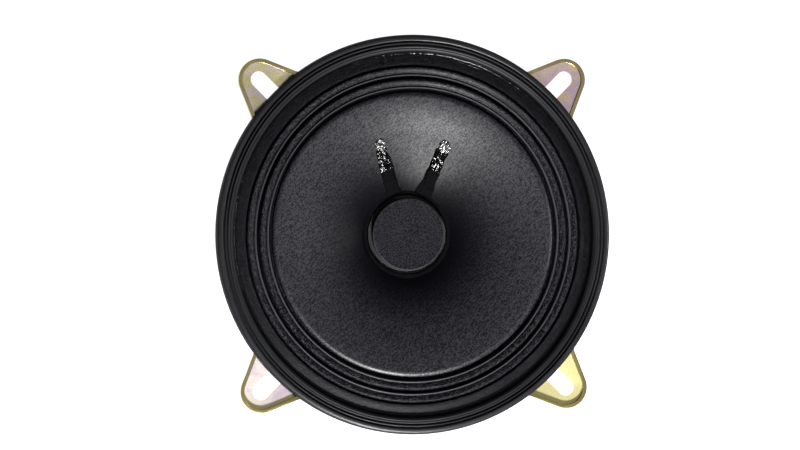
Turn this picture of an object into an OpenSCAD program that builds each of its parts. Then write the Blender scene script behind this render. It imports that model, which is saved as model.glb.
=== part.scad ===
// Full-range speaker driver with a double-roll surround and four slotted ears.
// The rear face of the mounting flange is z = 0 and the listener is towards +Z.
// The ears point along +X, +Y, -X and -Y. The terminals sit on the leg between +X and +Y.

/* [Flange and ears] */
// Outer diameter of the gasket, which covers the round flange
gasket_d = 130; // [105:1:160]
// Thickness of the pressed steel sheet of the basket
sheet_t = 1.0; // [0.8:0.1:1.3]
// How far the flange stays inside the gasket's edge
flange_inset = 0.4; // [0.2:0.1:1]
// How far an ear reaches beyond the gasket
ear_reach = 13.2; // [12:0.1:18]
// Radius of the round tip of an ear
ear_tip_r = 6.9; // [6:0.1:8.5]
// Angle at which each side of an ear widens towards the flange
ear_flare = 23.7; // [15:0.1:30]
// Radius of the inside corner where an ear meets the flange
ear_root_r = 1.6; // [0.5:0.1:4]
// Height of the raised lip above the front of the sheet
lip_h = 1.4; // [0.8:0.1:2]
// Thickness of the raised lip
lip_t = 1.2; // [0.8:0.1:1.6]
// Width of a mounting slot, for a 5 mm bolt
slot_w = 5.3; // [4.3:0.1:6.5]
// Length of a mounting slot from end to end
slot_len = 12.3; // [8:0.1:14]
// How far the middle of a slot lies outside the gasket
slot_out = 3; // [2.8:0.1:4]

/* [Gasket] */
// Width of the gasket ring
gasket_w = 5.4; // [4.5:0.1:8]
// Height of the gasket above the sheet
gasket_t = 3.2; // [2:0.1:5]
// Width of each of the two grooves in the gasket's face
groove_w = 0.5; // [0.3:0.1:0.7]
// Depth of the grooves
groove_depth = 0.5; // [0.3:0.1:1]
// Distance of the outer groove from the gasket's edge
groove_in = 2.3; // [1.5:0.1:2.6]
// Distance between the two grooves
groove_pitch = 1.0; // [0.8:0.1:1.3]
// Width of the adhesive bead inside the gasket
bead_w = 0.7; // [0.4:0.1:1]

/* [Surround] */
// Thickness of the treated cloth
surround_t = 0.4; // [0.3:0.1:0.5]
// Width of the surround's rim that is glued under the gasket
rim_w = 2.8; // [2:0.1:4]
// Width of the plain annulus between the gasket and the rolls
annulus_w = 4.1; // [3:0.1:8]
// Height that the annulus gains towards the rolls
annulus_rise = 0.7; // [0.3:0.1:1.2]
// Width of one roll, from valley to valley
roll_pitch = 4.05; // [3.4:0.05:5]
// Number of rolls
rolls = 2; // [1:1:2]
// Height of a roll from its valley to its crest
roll_h = 2.2; // [1.4:0.1:2.8]
// Distance between the innermost valley and the edge of the cone
edge_gap = 0.7; // [0.5:0.1:1.5]
// Width of the surround's rim that is glued behind the cone
tuck_w = 2.8; // [2:0.1:5]

/* [Cone] */
// Thickness of the paper
cone_t = 0.5; // [0.3:0.05:0.8]
// Depth of the cone from its edge to its neck
cone_depth = 16.2; // [13:0.1:20]
// Height of the cone's edge above the flange's rear face
edge_z = 1.1; // [0.6:0.1:1.6]
// Exponent of the cone's curve, where 1 is a straight cone
cone_curve = 0.55; // [0.5:0.01:0.7]

/* [Dust cap] */
// How far the cup of the dust cap stands outside the coil's collar
cap_clear = 1.4; // [1:0.1:3]
// Thickness of the cap's felt
cap_t = 0.5; // [0.4:0.1:0.8]
// Width of the cap's glued flange
cap_flange = 1.1; // [0.6:0.1:1.5]
// Height of the face above the foot of the cap
cap_h = 4.6; // [4:0.1:7]
// Height of the crown at the middle of the face
cap_crown = 0.5; // [0.2:0.1:1]
// Radius of the cap's round shoulder
cap_shoulder = 1.6; // [1:0.1:2.5]
// Width of the glue ring round the cap
cap_glue_w = 1.4; // [0.8:0.1:2]

/* [Voice coil] */
// Inner diameter of the coil former
former_d = 20; // [18:0.1:21]
// Thickness of the former
former_t = 0.2; // [0.15:0.05:0.3]
// How far the former rises above the neck of the cone
former_rise = 3.5; // [1.5:0.1:3.6]
// How far the former reaches below the winding
former_tail = 0.5; // [0.2:0.1:1.5]
// Thickness of the winding
winding_t = 0.5; // [0.3:0.05:0.6]
// Height of the winding
winding_h = 9; // [6:0.1:9.5]
// Thickness of the paper collar round the former
collar_t = 0.3; // [0.3:0.05:0.4]
// Thickness of a lead of the coil
lead_t = 0.25; // [0.2:0.05:0.25]
// Radial clearance on each side of the coil in the magnet's gap
coil_clear = 0.4; // [0.3:0.05:0.6]

/* [Leads on the cone] */
// Radius at which the leads are soldered to their eyelets
eyelet_at = 30.5; // [24:0.1:33]
// Angle of the left lead from the middle of the terminal leg
left_a = 19; // [15:0.5:26]
// Angle of the right lead from the middle of the terminal leg
right_a = 21.5; // [15:0.5:26]
// Radius of an eyelet's body
eyelet_r = 1.0; // [0.8:0.1:1.2]
// Width of an eyelet's rolled flange
eyelet_flange = 0.5; // [0.3:0.1:0.7]
// Radius of the solder on an eyelet
solder_r = 1.6; // [1.2:0.1:2]
// Width of a strip of cement over a lead
cement_w = 4.2; // [3:0.1:6]
// Height of a strip of cement
cement_h = 0.9; // [0.6:0.1:1.2]
// Diameter of a flexible tinsel lead
tinsel_d = 1.0; // [0.8:0.1:1.4]

/* [Basket] */
// Distance from the cone's neck back to the ledge that holds the spider
ledge_drop = 2.9; // [2.4:0.1:4]
// Depth of the lower wall, from the ledge to the floor
cup_depth = 7.5; // [6.5:0.1:12]
// Inner radius of the lower wall of the basket
cup_r = 31.5; // [29:0.1:35]
// Radial width of the ledge
ledge_w = 6.5; // [5:0.1:8]
// Clearance of the hole in the basket's floor round the coil
floor_clear = 2.3; // [2:0.1:6]
// Half of the width of a leg between two windows
leg_half = 8.5; // [7:0.1:11]
// Distance of the windows' upper edge below the mounting plane
window_top = 4; // [3:0.1:6]
// Distance of the windows' lower edge above the ledge
window_sill = 2.2; // [1.5:0.1:4]
// Radius of the windows' corners
window_corner = 2.5; // [1:0.1:4]
// Diameter of the vent holes in the lower wall
vent_d = 5; // [3:0.1:5]
// Depth of the flat pad that is pressed into the terminal leg
pad_t = 1.9; // [1.5:0.1:2.5]

/* [Spider] */
// Thickness of the impregnated cloth
spider_t = 0.5; // [0.3:0.1:0.8]
// Height of the corrugations above their middle
spider_wave = 0.9; // [0.5:0.1:1.2]
// Number of corrugations
spider_waves = 5; // [3:1:7]
// Width of the flat band round the neck
spider_neck_w = 2.2; // [1:0.1:4]
// How far the spider stays inside the edge of its ledge
spider_inset = 2; // [0.5:0.1:3]

/* [Magnet] */
// Diameter of the front plate
front_plate_d = 62; // [58:0.5:68]
// Thickness of the front plate
front_plate_t = 4; // [3:0.1:6]
// Diameter of the ferrite ring
magnet_d = 70; // [66:0.5:90]
// Hole of the ferrite ring
magnet_hole_d = 32; // [26:0.5:38]
// Thickness of the ferrite ring
magnet_t = 12; // [10:0.5:18]
// Diameter of the back plate
back_plate_d = 66; // [60:0.5:80]
// Thickness of the back plate
back_plate_t = 5; // [4:0.1:8]
// Diameter of the pole's spigot, which is staked in the back plate
spigot_d = 14; // [10:0.1:16]
// Width of the chamfers on the plates and the ferrite
chamfer = 0.7; // [0.3:0.1:1.5]

/* [Rivets and terminals] */
// Radius of the circle of rivets that hold the basket to the front plate
rivet_at = 23.5; // [20:0.1:26]
// Diameter of a frame rivet's shank
rivet_d = 3.5; // [3:0.1:4.5]
// Diameter of a frame rivet's head
rivet_head_d = 6.4; // [5:0.1:8]
// Height of a frame rivet's head
rivet_head_h = 1.2; // [0.8:0.1:1.6]
// Length of the terminal board
board_l = 32; // [30:0.5:36]
// Width of the terminal board
board_w = 11; // [9:0.1:12]
// Thickness of the terminal board
board_t = 1.6; // [1:0.1:2]
// Distance of each board rivet from the middle of the board
board_rivet_y = 5; // [4:0.1:6]
// Distance of each terminal from the end of the board
lug_inset = 3.8; // [3.4:0.1:4.4]
// Width of a terminal lug
lug_w = 4.8; // [4:0.1:6.3]
// Thickness of a terminal lug
lug_t = 0.6; // [0.4:0.1:0.8]
// Length of the tab that stands out from the board
lug_tab = 9; // [7:0.1:12]
// Diameter of the hole for a wire in the tab
lug_hole_d = 1.6; // [1:0.1:2]
// Distance of that hole from the tab's end
lug_hole_in = 2.6; // [2:0.1:4]
// Diameter of the small rivets of the board and the lugs
pin_d = 2.4; // [2:0.1:3]
// Diameter of their heads
pin_head_d = 4.2; // [3.6:0.1:4.6]
// Height of their heads
pin_head_h = 0.8; // [0.5:0.1:1]
// Diameter of the paint dot that marks the positive terminal
dot_d = 2.2; // [1.5:0.1:2.4]

/* [Hidden] */
$fn = 96;

// Small gap that keeps a lead off what it lies on or passes through
touch_gap = 0.02;
// Length added to a cut so that it passes right through
past = 1;
// Steps in a rounded corner of an outline, and in the cone's curve
corner_steps = 5;
cone_steps = 14;
// Steps in an ear's tip and in its root, in one corrugation of the spider, and in a dome
tip_steps = 8;
root_steps = 6;
wave_steps = 8;
dome_steps = 6;
// Sides of a flexible lead, and a vector that turns the rings of its tube
tinsel_sides = 8;
ring_side = [0.3, -0.9, 0.2];
// Direction of the terminal leg, and the directions of the ears
leg_a = 45;
ear_angles = [0, 90, 180, 270];
leg_angles = [for (a = ear_angles) a + leg_a];
vents = 8;

// Basket: clearance of its slanted wall behind the surround's outer valley, the radii of the
// pressed bends from the flange to the floor, the largest share of the flat inside the gasket
// that the first bend takes, and the height of the vents above the middle of the lower wall
valley_clear = 0.578;
press_radii = [3, 1.5, 2, 2];
bend_share = 0.9;
vent_rise = 0.3;
// Gasket: bevel of its front edges
gasket_bevel = 0.4;
// Adhesive bead: shares of its width and height, and how far its foot sinks into the seam
bead_shape = [[0, 1], [0.6, 0.7], [1, 0]];
bead_sink = 0.2;
// Surround: flat stretch inside the gasket, the rounded inner edge of the annulus as distances
// outside the first valley and heights from the crest, and the press against the cone's back
rim_flat = 0.2;
annulus_edge = [[0.6, 0], [0.25, -0.4]];
annulus_drop_w = 0.4;
tuck_press = 0.08;
// Cone: depth behind the neck to which a cut behind it reaches
behind = 5;
// Collar: how far it rises above the neck, and how far it stays above the winding
collar_rise = 1;
collar_gap = 2;
// Coil leads: how far a lead stops before its solder, and its shortest last step
lead_stop = 0.1;
lead_step = 0.5;
// Dust cap: shares of its radius and of its crown across the face, and the height of the
// fillet between its wall and its flange
cap_face = [[0, 0], [0.15, 0], [0.45, 0.25], [0.75, 0.6]];
cap_fillet = 0.7;
// Glue round the cap: shares of its width, and heights above the cone
glue_bead = [[0, 0.9], [0.4, 0.75], [0.75, 0.45], [1, 0.1]];
// Cement: radius of the corners of a strip
cement_corner = 1.26;
// Eyelet: gap between its flanges and the paper, and the thickness of a flange
eyelet_seat = 0.08;
eyelet_rim_t = 0.25;
// Solder: height of the dome and of its foot
solder_h = 1.1;
solder_foot = 0.15;
// Neck glue: width at the spider, width at the cone, and height above the neck
neck_glue_w = 1.2;
neck_glue_top_w = 0.7;
neck_glue_rise = 0.8;
// Spider: how far its waves stay inside the lower wall, and its flat band starts outside it
spider_gap = 0.8;
spider_land = 1;
// Pole: chamfer of its front edge
pole_chamfer = 0.4;
// Terminals: corners of the board, the lug's back end, neck and bend, and the paint dot
board_corner = 1.5;
lug_back = 0.5;
lug_neck = 1.4;
lug_bend_r = 0.8;
dot_in = 3.9;
dot_t = 0.15;

gasket_r = gasket_d / 2;
flange_r = gasket_r - flange_inset;
gasket_in_r = gasket_r - gasket_w;
slot_at = gasket_r + slot_out;
front_z = sheet_t;
rim_z = sheet_t + surround_t;
rim_r = gasket_in_r + rim_w;
valley_r = gasket_in_r - annulus_w - annulus_drop_w;
inner_valley_r = valley_r - rolls * roll_pitch;
edge_r = inner_valley_r - edge_gap;
crest_z = rim_z + annulus_rise;
valley_z = crest_z - roll_h;

coil_in_r = former_d / 2;
former_r = coil_in_r + former_t;
collar_r = former_r + collar_t;
coil_r = former_r + winding_t;
plate_bore_r = coil_r + coil_clear;
pole_r = coil_in_r - coil_clear;
neck_z = edge_z - cone_depth;
ledge_z = neck_z - ledge_drop;
floor_z = ledge_z - cup_depth;
plate_top_z = floor_z - sheet_t;
plate_back_z = plate_top_z - front_plate_t;
magnet_back_z = plate_back_z - magnet_t;
rear_z = magnet_back_z - back_plate_t;
gap_mid_z = plate_top_z - front_plate_t / 2;
winding_top_z = gap_mid_z + winding_h / 2;
winding_foot_z = winding_top_z - winding_h;
former_top_z = neck_z + former_rise;
former_foot_z = winding_foot_z - former_tail;
collar_top_z = neck_z + collar_rise;
collar_foot_z = winding_top_z + collar_gap;

ledge_r = cup_r + ledge_w;
valley_back = valley_z - surround_t - valley_clear;
shoulder_r = ledge_r + (valley_r - ledge_r) * (front_z - ledge_z) / (valley_back - ledge_z);
shoulder_turn = atan((front_z - ledge_z) / (shoulder_r - ledge_r));
shoulder_fit = bend_share * (gasket_in_r - shoulder_r) / tan(shoulder_turn / 2);
bend_radii = [for (i = [0 : 3]) i == 0 ? min(press_radii[0], shoulder_fit) : press_radii[i]];
floor_hole_r = coil_r + floor_clear;
spider_r = ledge_r - spider_inset;
spider_in_z = ledge_z + spider_t;

cap_r = collar_r + cap_clear;
cap_foot_r = cap_r + cap_flange;
lug_y = board_l / 2 - lug_inset;

// Plane geometry

function unit(v) = v / norm(v);
function left_of(v) = [-v[1], v[0]];
function heading(path, i) = unit(path[min(i + 1, len(path) - 1)] - path[max(i - 1, 0)]);

// The way back along a path, at a distance t to its left
function back_along(path, t) =
  [for (i = [len(path) - 1 : -1 : 0]) path[i] + t * left_of(heading(path, i))];

// Outline of a wall of thickness t on the left side of a path
function wall(path, t) = concat(path, back_along(path, t));

// Round corner of radius r at b, between the lines to a and to c
function corner(a, b, c, r) =
  let (u = unit(a - b), v = unit(c - b), half = acos(u * v) / 2)
  let (m = b + unit(u + v) * r / sin(half))
  let (p = b + u * r / tan(half) - m, q = b + v * r / tan(half) - m)
  [for (i = [0 : corner_steps]) let (t = i / corner_steps) m + r * unit((1 - t) * p + t * q)];

// Open path with a radius for each of its inner points
function soft_path(p, radii) = concat([p[0]],
  [for (i = [1 : len(p) - 2]) each corner(p[i - 1], p[i], p[i + 1], radii[i - 1])],
  [p[len(p) - 1]]);

// Closed outline with one radius at every corner
function soft_outline(p, r) = let (n = len(p))
  [for (i = [0 : n - 1]) each corner(p[(i + n - 1) % n], p[i], p[(i + 1) % n], r)];

function rectangle(l, w) = [[-l / 2, -w / 2], [l / 2, -w / 2], [l / 2, w / 2], [-l / 2, w / 2]];

function arc(m, r, a, b, n) =
  [for (i = [0 : n]) let (t = a + (b - a) * i / n) m + r * [cos(t), sin(t)]];

// Height of the front of the cone at radius r, and its slope as an angle
function cone_z(r) =
  neck_z + cone_depth * pow(max(r - collar_r, 0) / (edge_r - collar_r), cone_curve);
function cone_slope(r, d = 0.2) = atan((cone_z(r + d) - cone_z(r - d)) / (2 * d));

cone_front = [for (i = [0 : cone_steps])
  let (r = collar_r + (edge_r - collar_r) * pow(i / cone_steps, 2)) [r, cone_z(r)]];

// Basket

// The flange is flat as far in as the gasket's inner edge
basket_front = concat([[flange_r, front_z]], soft_path([
  [gasket_in_r, front_z], [shoulder_r, front_z], [ledge_r, ledge_z],
  [cup_r, ledge_z], [cup_r, floor_z], [floor_hole_r, floor_z]
], bend_radii));

// Straight part of the slanted wall, and its outward normal
wall_run = unit([shoulder_r, front_z] - [ledge_r, ledge_z]);
wall_out = [wall_run[1], -wall_run[0]];
wall_mid = ([shoulder_r, front_z] + [ledge_r, ledge_z]) / 2 + sheet_t * wall_out;
wall_turn = atan2(wall_out[0], wall_out[1]);

// Outline of an ear along +X, made smaller all round by inset
function ear_outline(inset) =
  let (tip = ear_tip_r - inset, root = ear_root_r + inset, x = gasket_r + ear_reach - ear_tip_r)
  let (n = [sin(ear_flare), cos(ear_flare)], d = x * n[0] + tip + root)
  let (m = d * n + sqrt(pow(gasket_r + ear_root_r, 2) - d * d) * [n[1], -n[0]])
  let (side = concat(arc([x, 0], tip, 0, 90 - ear_flare, tip_steps),
    arc(m, root, 270 - ear_flare, 180 + atan2(m[1], m[0]), root_steps)))
  concat([[0, 0]], [for (i = [len(side) - 1 : -1 : 1]) [side[i][0], -side[i][1]]], side);

module slot_cut() {
  for (s = [-1, 1]) translate([slot_at + s * (slot_len - slot_w) / 2, 0, -past])
    cylinder(d = slot_w, h = front_z + 2 * past);
  translate([slot_at - (slot_len - slot_w) / 2, -slot_w / 2, -past])
    cube([slot_len - slot_w, slot_w, front_z + 2 * past]);
}

module ear() {
  difference() {
    linear_extrude(front_z) polygon(ear_outline(0));
    translate([0, 0, -past]) cylinder(r = flange_r - past, h = front_z + 2 * past);
    slot_cut();
  }
  // Raised lip round the edge, which stops at the gasket
  difference() {
    linear_extrude(front_z + lip_h) polygon(ear_outline(0));
    translate([0, 0, front_z]) linear_extrude(lip_h + past) polygon(ear_outline(lip_t));
    translate([0, 0, -past]) cylinder(r = gasket_r + touch_gap, h = front_z + lip_h + 2 * past);
    translate([0, 0, -past]) linear_extrude(front_z + past) polygon(ear_outline(lip_t));
  }
}

// Window through the slanted wall, seen along +X
module window_cut() {
  top_z = -window_top;
  sill_z = ledge_z + window_sill;
  top_r = ledge_r + (top_z - ledge_z) * wall_run[0] / wall_run[1];
  sill_r = ledge_r + (sill_z - ledge_z) * wall_run[0] / wall_run[1];
  half = [for (r = [sill_r, top_r]) r * sin(45 - asin(leg_half / r))];
  rotate([90, 0, 90]) linear_extrude(gasket_r) polygon(soft_outline([
    [-half[0], sill_z], [half[0], sill_z], [half[1], top_z], [-half[1], top_z]
  ], window_corner));
}

// Places its children on the outer face of the terminal leg, with z outwards
module on_leg() {
  rotate([0, 0, leg_a]) translate([wall_mid[0], 0, wall_mid[1]]) rotate([0, wall_turn, 0])
    children();
}

module basket() {
  color([0.78, 0.72, 0.48]) difference() {
    union() {
      difference() {
        rotate_extrude() polygon(wall(basket_front, sheet_t));
        for (a = ear_angles) rotate([0, 0, a]) slot_cut();
      }
      for (a = ear_angles) rotate([0, 0, a]) ear();
      on_leg() translate([-board_w / 2, -leg_half, -pad_t]) cube([board_w, 2 * leg_half, pad_t]);
    }
    for (a = ear_angles) rotate([0, 0, a]) window_cut();
    for (i = [0 : vents - 1]) rotate([0, 0, (i + 0.5) * 360 / vents])
      translate([cup_r - past, 0, (ledge_z + floor_z) / 2 + vent_rise]) rotate([0, 90, 0])
        cylinder(d = vent_d, h = sheet_t + 2 * past);
    for (a = leg_angles) rotate([0, 0, a]) translate([rivet_at, 0, plate_top_z - past])
      cylinder(d = rivet_d, h = sheet_t + 2 * past);
    on_leg() for (s = [-1, 1]) translate([0, s * board_rivet_y, -pad_t - past])
      cylinder(d = pin_d, h = pad_t + 2 * past);
  }
}

// Gasket and surround

module front_gasket() {
  top = front_z + gasket_t;
  color([0.13, 0.13, 0.15]) difference() {
    rotate_extrude() polygon([
      [gasket_in_r, rim_z], [rim_r + touch_gap, rim_z], [rim_r + touch_gap, front_z],
      [gasket_r, front_z], [gasket_r, top - gasket_bevel], [gasket_r - gasket_bevel, top],
      [gasket_in_r + gasket_bevel, top], [gasket_in_r, top - gasket_bevel]
    ]);
    for (i = [0, 1]) let (r = gasket_r - groove_in - i * groove_pitch)
      translate([0, 0, top - groove_depth]) difference() {
        cylinder(r = r + groove_w / 2, h = groove_depth + past);
        translate([0, 0, -past]) cylinder(r = r - groove_w / 2, h = groove_depth + 3 * past);
      }
  }
}

// One roll: its crest, its shallow dip and the sharp ridge on its inner side,
// as shares of the pitch inwards from the valley and of the height above it
roll_shape = [
  [0.05, 0.35], [0.12, 0.68], [0.2, 0.9], [0.29, 1], [0.4, 0.98], [0.52, 0.88],
  [0.63, 0.76], [0.68, 0.8], [0.765, 0.93], [0.82, 0.66], [0.9, 0.3]
];

surround_front = concat(
  [[rim_r, rim_z], [gasket_in_r - rim_flat, rim_z]],
  [for (p = annulus_edge) [valley_r + p[0], crest_z + p[1]]],
  [[valley_r, valley_z]],
  [for (k = [0 : rolls - 1]) each concat(
    [for (p = roll_shape) [valley_r - (k + p[0]) * roll_pitch, valley_z + p[1] * roll_h]],
    [[valley_r - (k + 1) * roll_pitch, valley_z]])],
  [for (r = [edge_r, edge_r - tuck_w / 2, edge_r - tuck_w]) [r, cone_z(r) - cone_t + tuck_press]]
);

module cone_section() {
  polygon(wall(cone_front, -cone_t));
}

// Everything behind the front of the cone
module behind_section() {
  polygon(concat(cone_front, [[edge_r, neck_z - behind], [collar_r, neck_z - behind]]));
}

module cone_body() {
  rotate_extrude() cone_section();
}

module surround() {
  color([0.12, 0.12, 0.14]) rotate_extrude() difference() {
    polygon(wall(surround_front, surround_t));
    cone_section();
  }
}

module gasket_adhesive() {
  color([0.08, 0.08, 0.09]) rotate_extrude() difference() {
    polygon(concat(
      [[gasket_in_r - bead_w, rim_z - bead_sink], [gasket_in_r, rim_z - bead_sink]],
      [for (p = bead_shape) [gasket_in_r, rim_z] + bead_w * [-p[0], p[1]]]
    ));
    polygon(wall(surround_front, surround_t));
  }
}

// Cone and what is fixed to its front

// Places its children on the front of the cone where a lead ends, with z along the normal
module at_eyelet(a) {
  rotate([0, 0, leg_a + a]) translate([eyelet_at, 0, cone_z(eyelet_at)])
    rotate([0, -cone_slope(eyelet_at), 0]) children();
}

module cone() {
  color([0.2, 0.2, 0.22]) difference() {
    cone_body();
    for (a = [left_a, -right_a]) at_eyelet(a) translate([0, 0, -cone_t - past])
      cylinder(r = eyelet_r, h = cone_t + 2 * past);
  }
}

// Solid layer of height h on the front of the cone
module layer(h) {
  rotate_extrude() polygon(wall(cone_front, h));
}

// Underside of a coil lead, a gap off the collar's outside and off the front of the cone:
// it goes up the former, through a slot in the collar and along the cone
lead_end_r = eyelet_at - solder_r - lead_stop;
function lead_under(gap) = concat(
  [[collar_r - gap, winding_top_z], [collar_r - gap, neck_z]],
  [for (i = [1 : cone_steps]) let (p = cone_front[i])
    if (p[0] < lead_end_r - lead_step) p + gap * left_of(heading(cone_front, i))],
  [[lead_end_r, cone_z(lead_end_r) + gap]]
);

module lead_shape(a, gap, t, w) {
  rotate([0, 0, leg_a + a]) rotate([90, 0, 0]) translate([0, 0, -w / 2])
    linear_extrude(w) polygon(wall(lead_under(gap), t));
}

// Room for a lead, in what lies over it
module lead_cut(a) {
  lead_shape(a, -touch_gap, lead_t + 4 * touch_gap, lead_t + 2 * touch_gap);
}

module both_leads_cut() {
  for (a = [left_a, -right_a]) lead_cut(a);
}

module coil_lead(a) {
  color([0.72, 0.42, 0.25]) lead_shape(a, touch_gap, lead_t, lead_t);
}

// Outside of the dust cap's cup, which runs down past the cone
cap_foot_z = cone_z(cap_r);
cap_face_z = cap_foot_z + cap_h;
face_points = [for (p = cap_face) [cap_r * p[0], cap_face_z - cap_crown * p[1]]];
cap_path = concat(
  [for (i = [0 : len(face_points) - 2]) face_points[i]],
  soft_path([face_points[len(face_points) - 1], [cap_r, cap_face_z - cap_crown],
    [cap_r, neck_z]], [cap_shoulder])
);
cap_outline = concat(
  [for (i = [0 : len(cap_path) - 2]) cap_path[i]],
  [[cap_r, cap_foot_z + cap_fillet], [cap_foot_r, cone_z(cap_foot_r) + cap_t],
   [cap_foot_r, neck_z]],
  back_along(cap_path, -cap_t)
);

module dust_cap() {
  color([0.17, 0.17, 0.18]) difference() {
    rotate_extrude() difference() {
      polygon(cap_outline);
      behind_section();
    }
    both_leads_cut();
  }
}

module dust_cap_glue() {
  top = [for (p = glue_bead) let (r = cap_foot_r + p[0] * cap_glue_w) [r, cone_z(r) + p[1]]];
  color([0.05, 0.05, 0.06]) difference() {
    rotate_extrude() difference() {
      polygon(concat(top, [[cap_foot_r + cap_glue_w, neck_z], [cap_foot_r, neck_z]]));
      behind_section();
    }
    both_leads_cut();
  }
}

// Strip of cement from the glue ring to the solder, over a lead
module lead_cement(a) {
  color([0.06, 0.06, 0.07]) difference() {
    intersection() {
      layer(cement_h);
      rotate([0, 0, leg_a + a]) translate([cap_r, 0, neck_z])
        linear_extrude(cone_depth + cement_h + past)
          translate([(eyelet_at - eyelet_r - cap_r) / 2, 0])
            polygon(soft_outline(rectangle(eyelet_at - eyelet_r - cap_r, cement_w), cement_corner));
    }
    translate([0, 0, neck_z]) cylinder(r = cap_foot_r + cap_glue_w, h = cone_depth);
    lead_cut(a);
    at_eyelet(a) translate([0, 0, -cone_t - past])
      cylinder(r = solder_r + touch_gap, h = cone_t + solder_h + 3 * past);
  }
}

module cone_eyelet(a) {
  r = eyelet_r + eyelet_flange;
  color([0.75, 0.66, 0.4]) at_eyelet(a) {
    translate([0, 0, -cone_t - eyelet_seat]) cylinder(r = eyelet_r, h = cone_t + 2 * eyelet_seat);
    translate([0, 0, eyelet_seat]) cylinder(r = r, h = eyelet_rim_t);
    translate([0, 0, -cone_t - eyelet_seat - eyelet_rim_t]) cylinder(r = r, h = eyelet_rim_t);
  }
}

module solder_joint(a) {
  foot = eyelet_seat + eyelet_rim_t;
  color([0.78, 0.78, 0.8]) at_eyelet(a) translate([0, 0, foot])
    rotate_extrude() polygon(concat([[0, 0]], [for (i = [0 : dome_steps])
      let (t = i * 90 / dome_steps)
        [solder_r * cos(t), solder_foot + (solder_h - solder_foot) * sin(t)]]));
}

// Voice coil and spider

module tube(r_out, r_in, from_z, to_z) {
  translate([0, 0, from_z]) difference() {
    cylinder(r = r_out, h = to_z - from_z);
    translate([0, 0, -past]) cylinder(r = r_in, h = to_z - from_z + 2 * past);
  }
}

module coil_former() {
  color([0.75, 0.6, 0.4]) tube(former_r, coil_in_r, former_foot_z, former_top_z);
}

module coil_collar() {
  color([0.7, 0.6, 0.45]) difference() {
    tube(collar_r, former_r, collar_foot_z, collar_top_z);
    both_leads_cut();
  }
}

module voice_coil() {
  color([0.72, 0.38, 0.2]) tube(coil_r, former_r, winding_foot_z, winding_top_z);
}

module neck_glue() {
  color([0.25, 0.2, 0.12]) difference() {
    rotate_extrude() difference() {
      intersection() {
        polygon([
          [collar_r, spider_in_z], [collar_r + neck_glue_w, spider_in_z],
          [collar_r + neck_glue_top_w, neck_z + neck_glue_rise],
          [collar_r, neck_z + neck_glue_rise]
        ]);
        behind_section();
      }
      cone_section();
    }
    both_leads_cut();
  }
}

// The cloth is flat where it is glued, and waves between
wave_in_r = collar_r + spider_neck_w;
wave_out_r = cup_r - spider_gap;
spider_top = concat(
  [[spider_r, spider_in_z], [cup_r + spider_land, spider_in_z]],
  [for (i = [0 : spider_waves * wave_steps])
    let (t = i / (spider_waves * wave_steps))
      [wave_out_r + (wave_in_r - wave_out_r) * t,
       spider_in_z + spider_wave * sin(360 * spider_waves * t)]],
  [[collar_r, spider_in_z]]
);

module spider() {
  color([0.8, 0.68, 0.42]) rotate_extrude() polygon(wall(spider_top, spider_t));
}

// Magnet

module chamfered_ring(r_out, r_in, from_z, to_z) {
  c = chamfer;
  rotate_extrude() polygon([
    [r_in, from_z], [r_out - c, from_z], [r_out, from_z + c],
    [r_out, to_z - c], [r_out - c, to_z], [r_in, to_z]
  ]);
}

module front_plate() {
  color([0.8, 0.76, 0.6]) difference() {
    chamfered_ring(front_plate_d / 2, plate_bore_r, plate_back_z, plate_top_z);
    for (a = leg_angles) rotate([0, 0, a]) translate([rivet_at, 0, plate_back_z - past])
      cylinder(d = rivet_d, h = front_plate_t + 2 * past);
  }
}

module magnet() {
  color([0.22, 0.22, 0.23])
    chamfered_ring(magnet_d / 2, magnet_hole_d / 2, magnet_back_z, plate_back_z);
}

module back_plate() {
  color([0.8, 0.76, 0.6])
    chamfered_ring(back_plate_d / 2, spigot_d / 2, rear_z, magnet_back_z);
}

module pole_piece() {
  color([0.68, 0.68, 0.68]) {
    rotate_extrude() polygon([
      [0, magnet_back_z], [pole_r, magnet_back_z], [pole_r, plate_top_z - pole_chamfer],
      [pole_r - pole_chamfer, plate_top_z], [0, plate_top_z]
    ]);
    translate([0, 0, rear_z]) cylinder(d = spigot_d, h = back_plate_t);
  }
}

module frame_rivets() {
  head = concat([[0, 0]], [for (i = [0 : dome_steps]) let (t = i * 90 / dome_steps)
    [rivet_head_d / 2 * cos(t), rivet_head_h * sin(t)]]);
  color([0.75, 0.72, 0.62]) for (a = leg_angles) rotate([0, 0, a]) translate([rivet_at, 0, 0]) {
    translate([0, 0, plate_back_z]) cylinder(d = rivet_d, h = front_plate_t + sheet_t);
    translate([0, 0, floor_z]) rotate_extrude() polygon(head);
  }
}

// Terminals

module terminal_board() {
  color([0.5, 0.3, 0.16]) on_leg() difference() {
    linear_extrude(board_t) polygon(soft_outline(rectangle(board_w, board_l), board_corner));
    for (y = [-lug_y, -board_rivet_y, board_rivet_y, lug_y]) translate([0, y, -past])
      cylinder(d = pin_d, h = board_t + 2 * past);
  }
}

// Rivet through a stack from z = foot to z = top, with a head at each end
module pin(foot, top) {
  translate([0, 0, foot]) cylinder(d = pin_d, h = top - foot);
  translate([0, 0, foot - pin_head_h]) cylinder(d = pin_head_d, h = pin_head_h);
  translate([0, 0, top]) cylinder(d = pin_head_d, h = pin_head_h);
}

module board_rivets() {
  color([0.75, 0.72, 0.65]) on_leg() for (s = [-1, 1]) translate([0, s * board_rivet_y, 0])
    pin(-pad_t, board_t);
}

module lug_rivets() {
  color([0.8, 0.78, 0.72]) on_leg() for (s = [-1, 1]) translate([0, s * lug_y, 0])
    pin(0, board_t + lug_t);
}

// The tab of a lug points straight back, along the driver's axis
tab_turn = atan2(wall_run[0], wall_run[1]);
lug_bend_x = pin_head_d / 2 + lug_neck;

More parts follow.
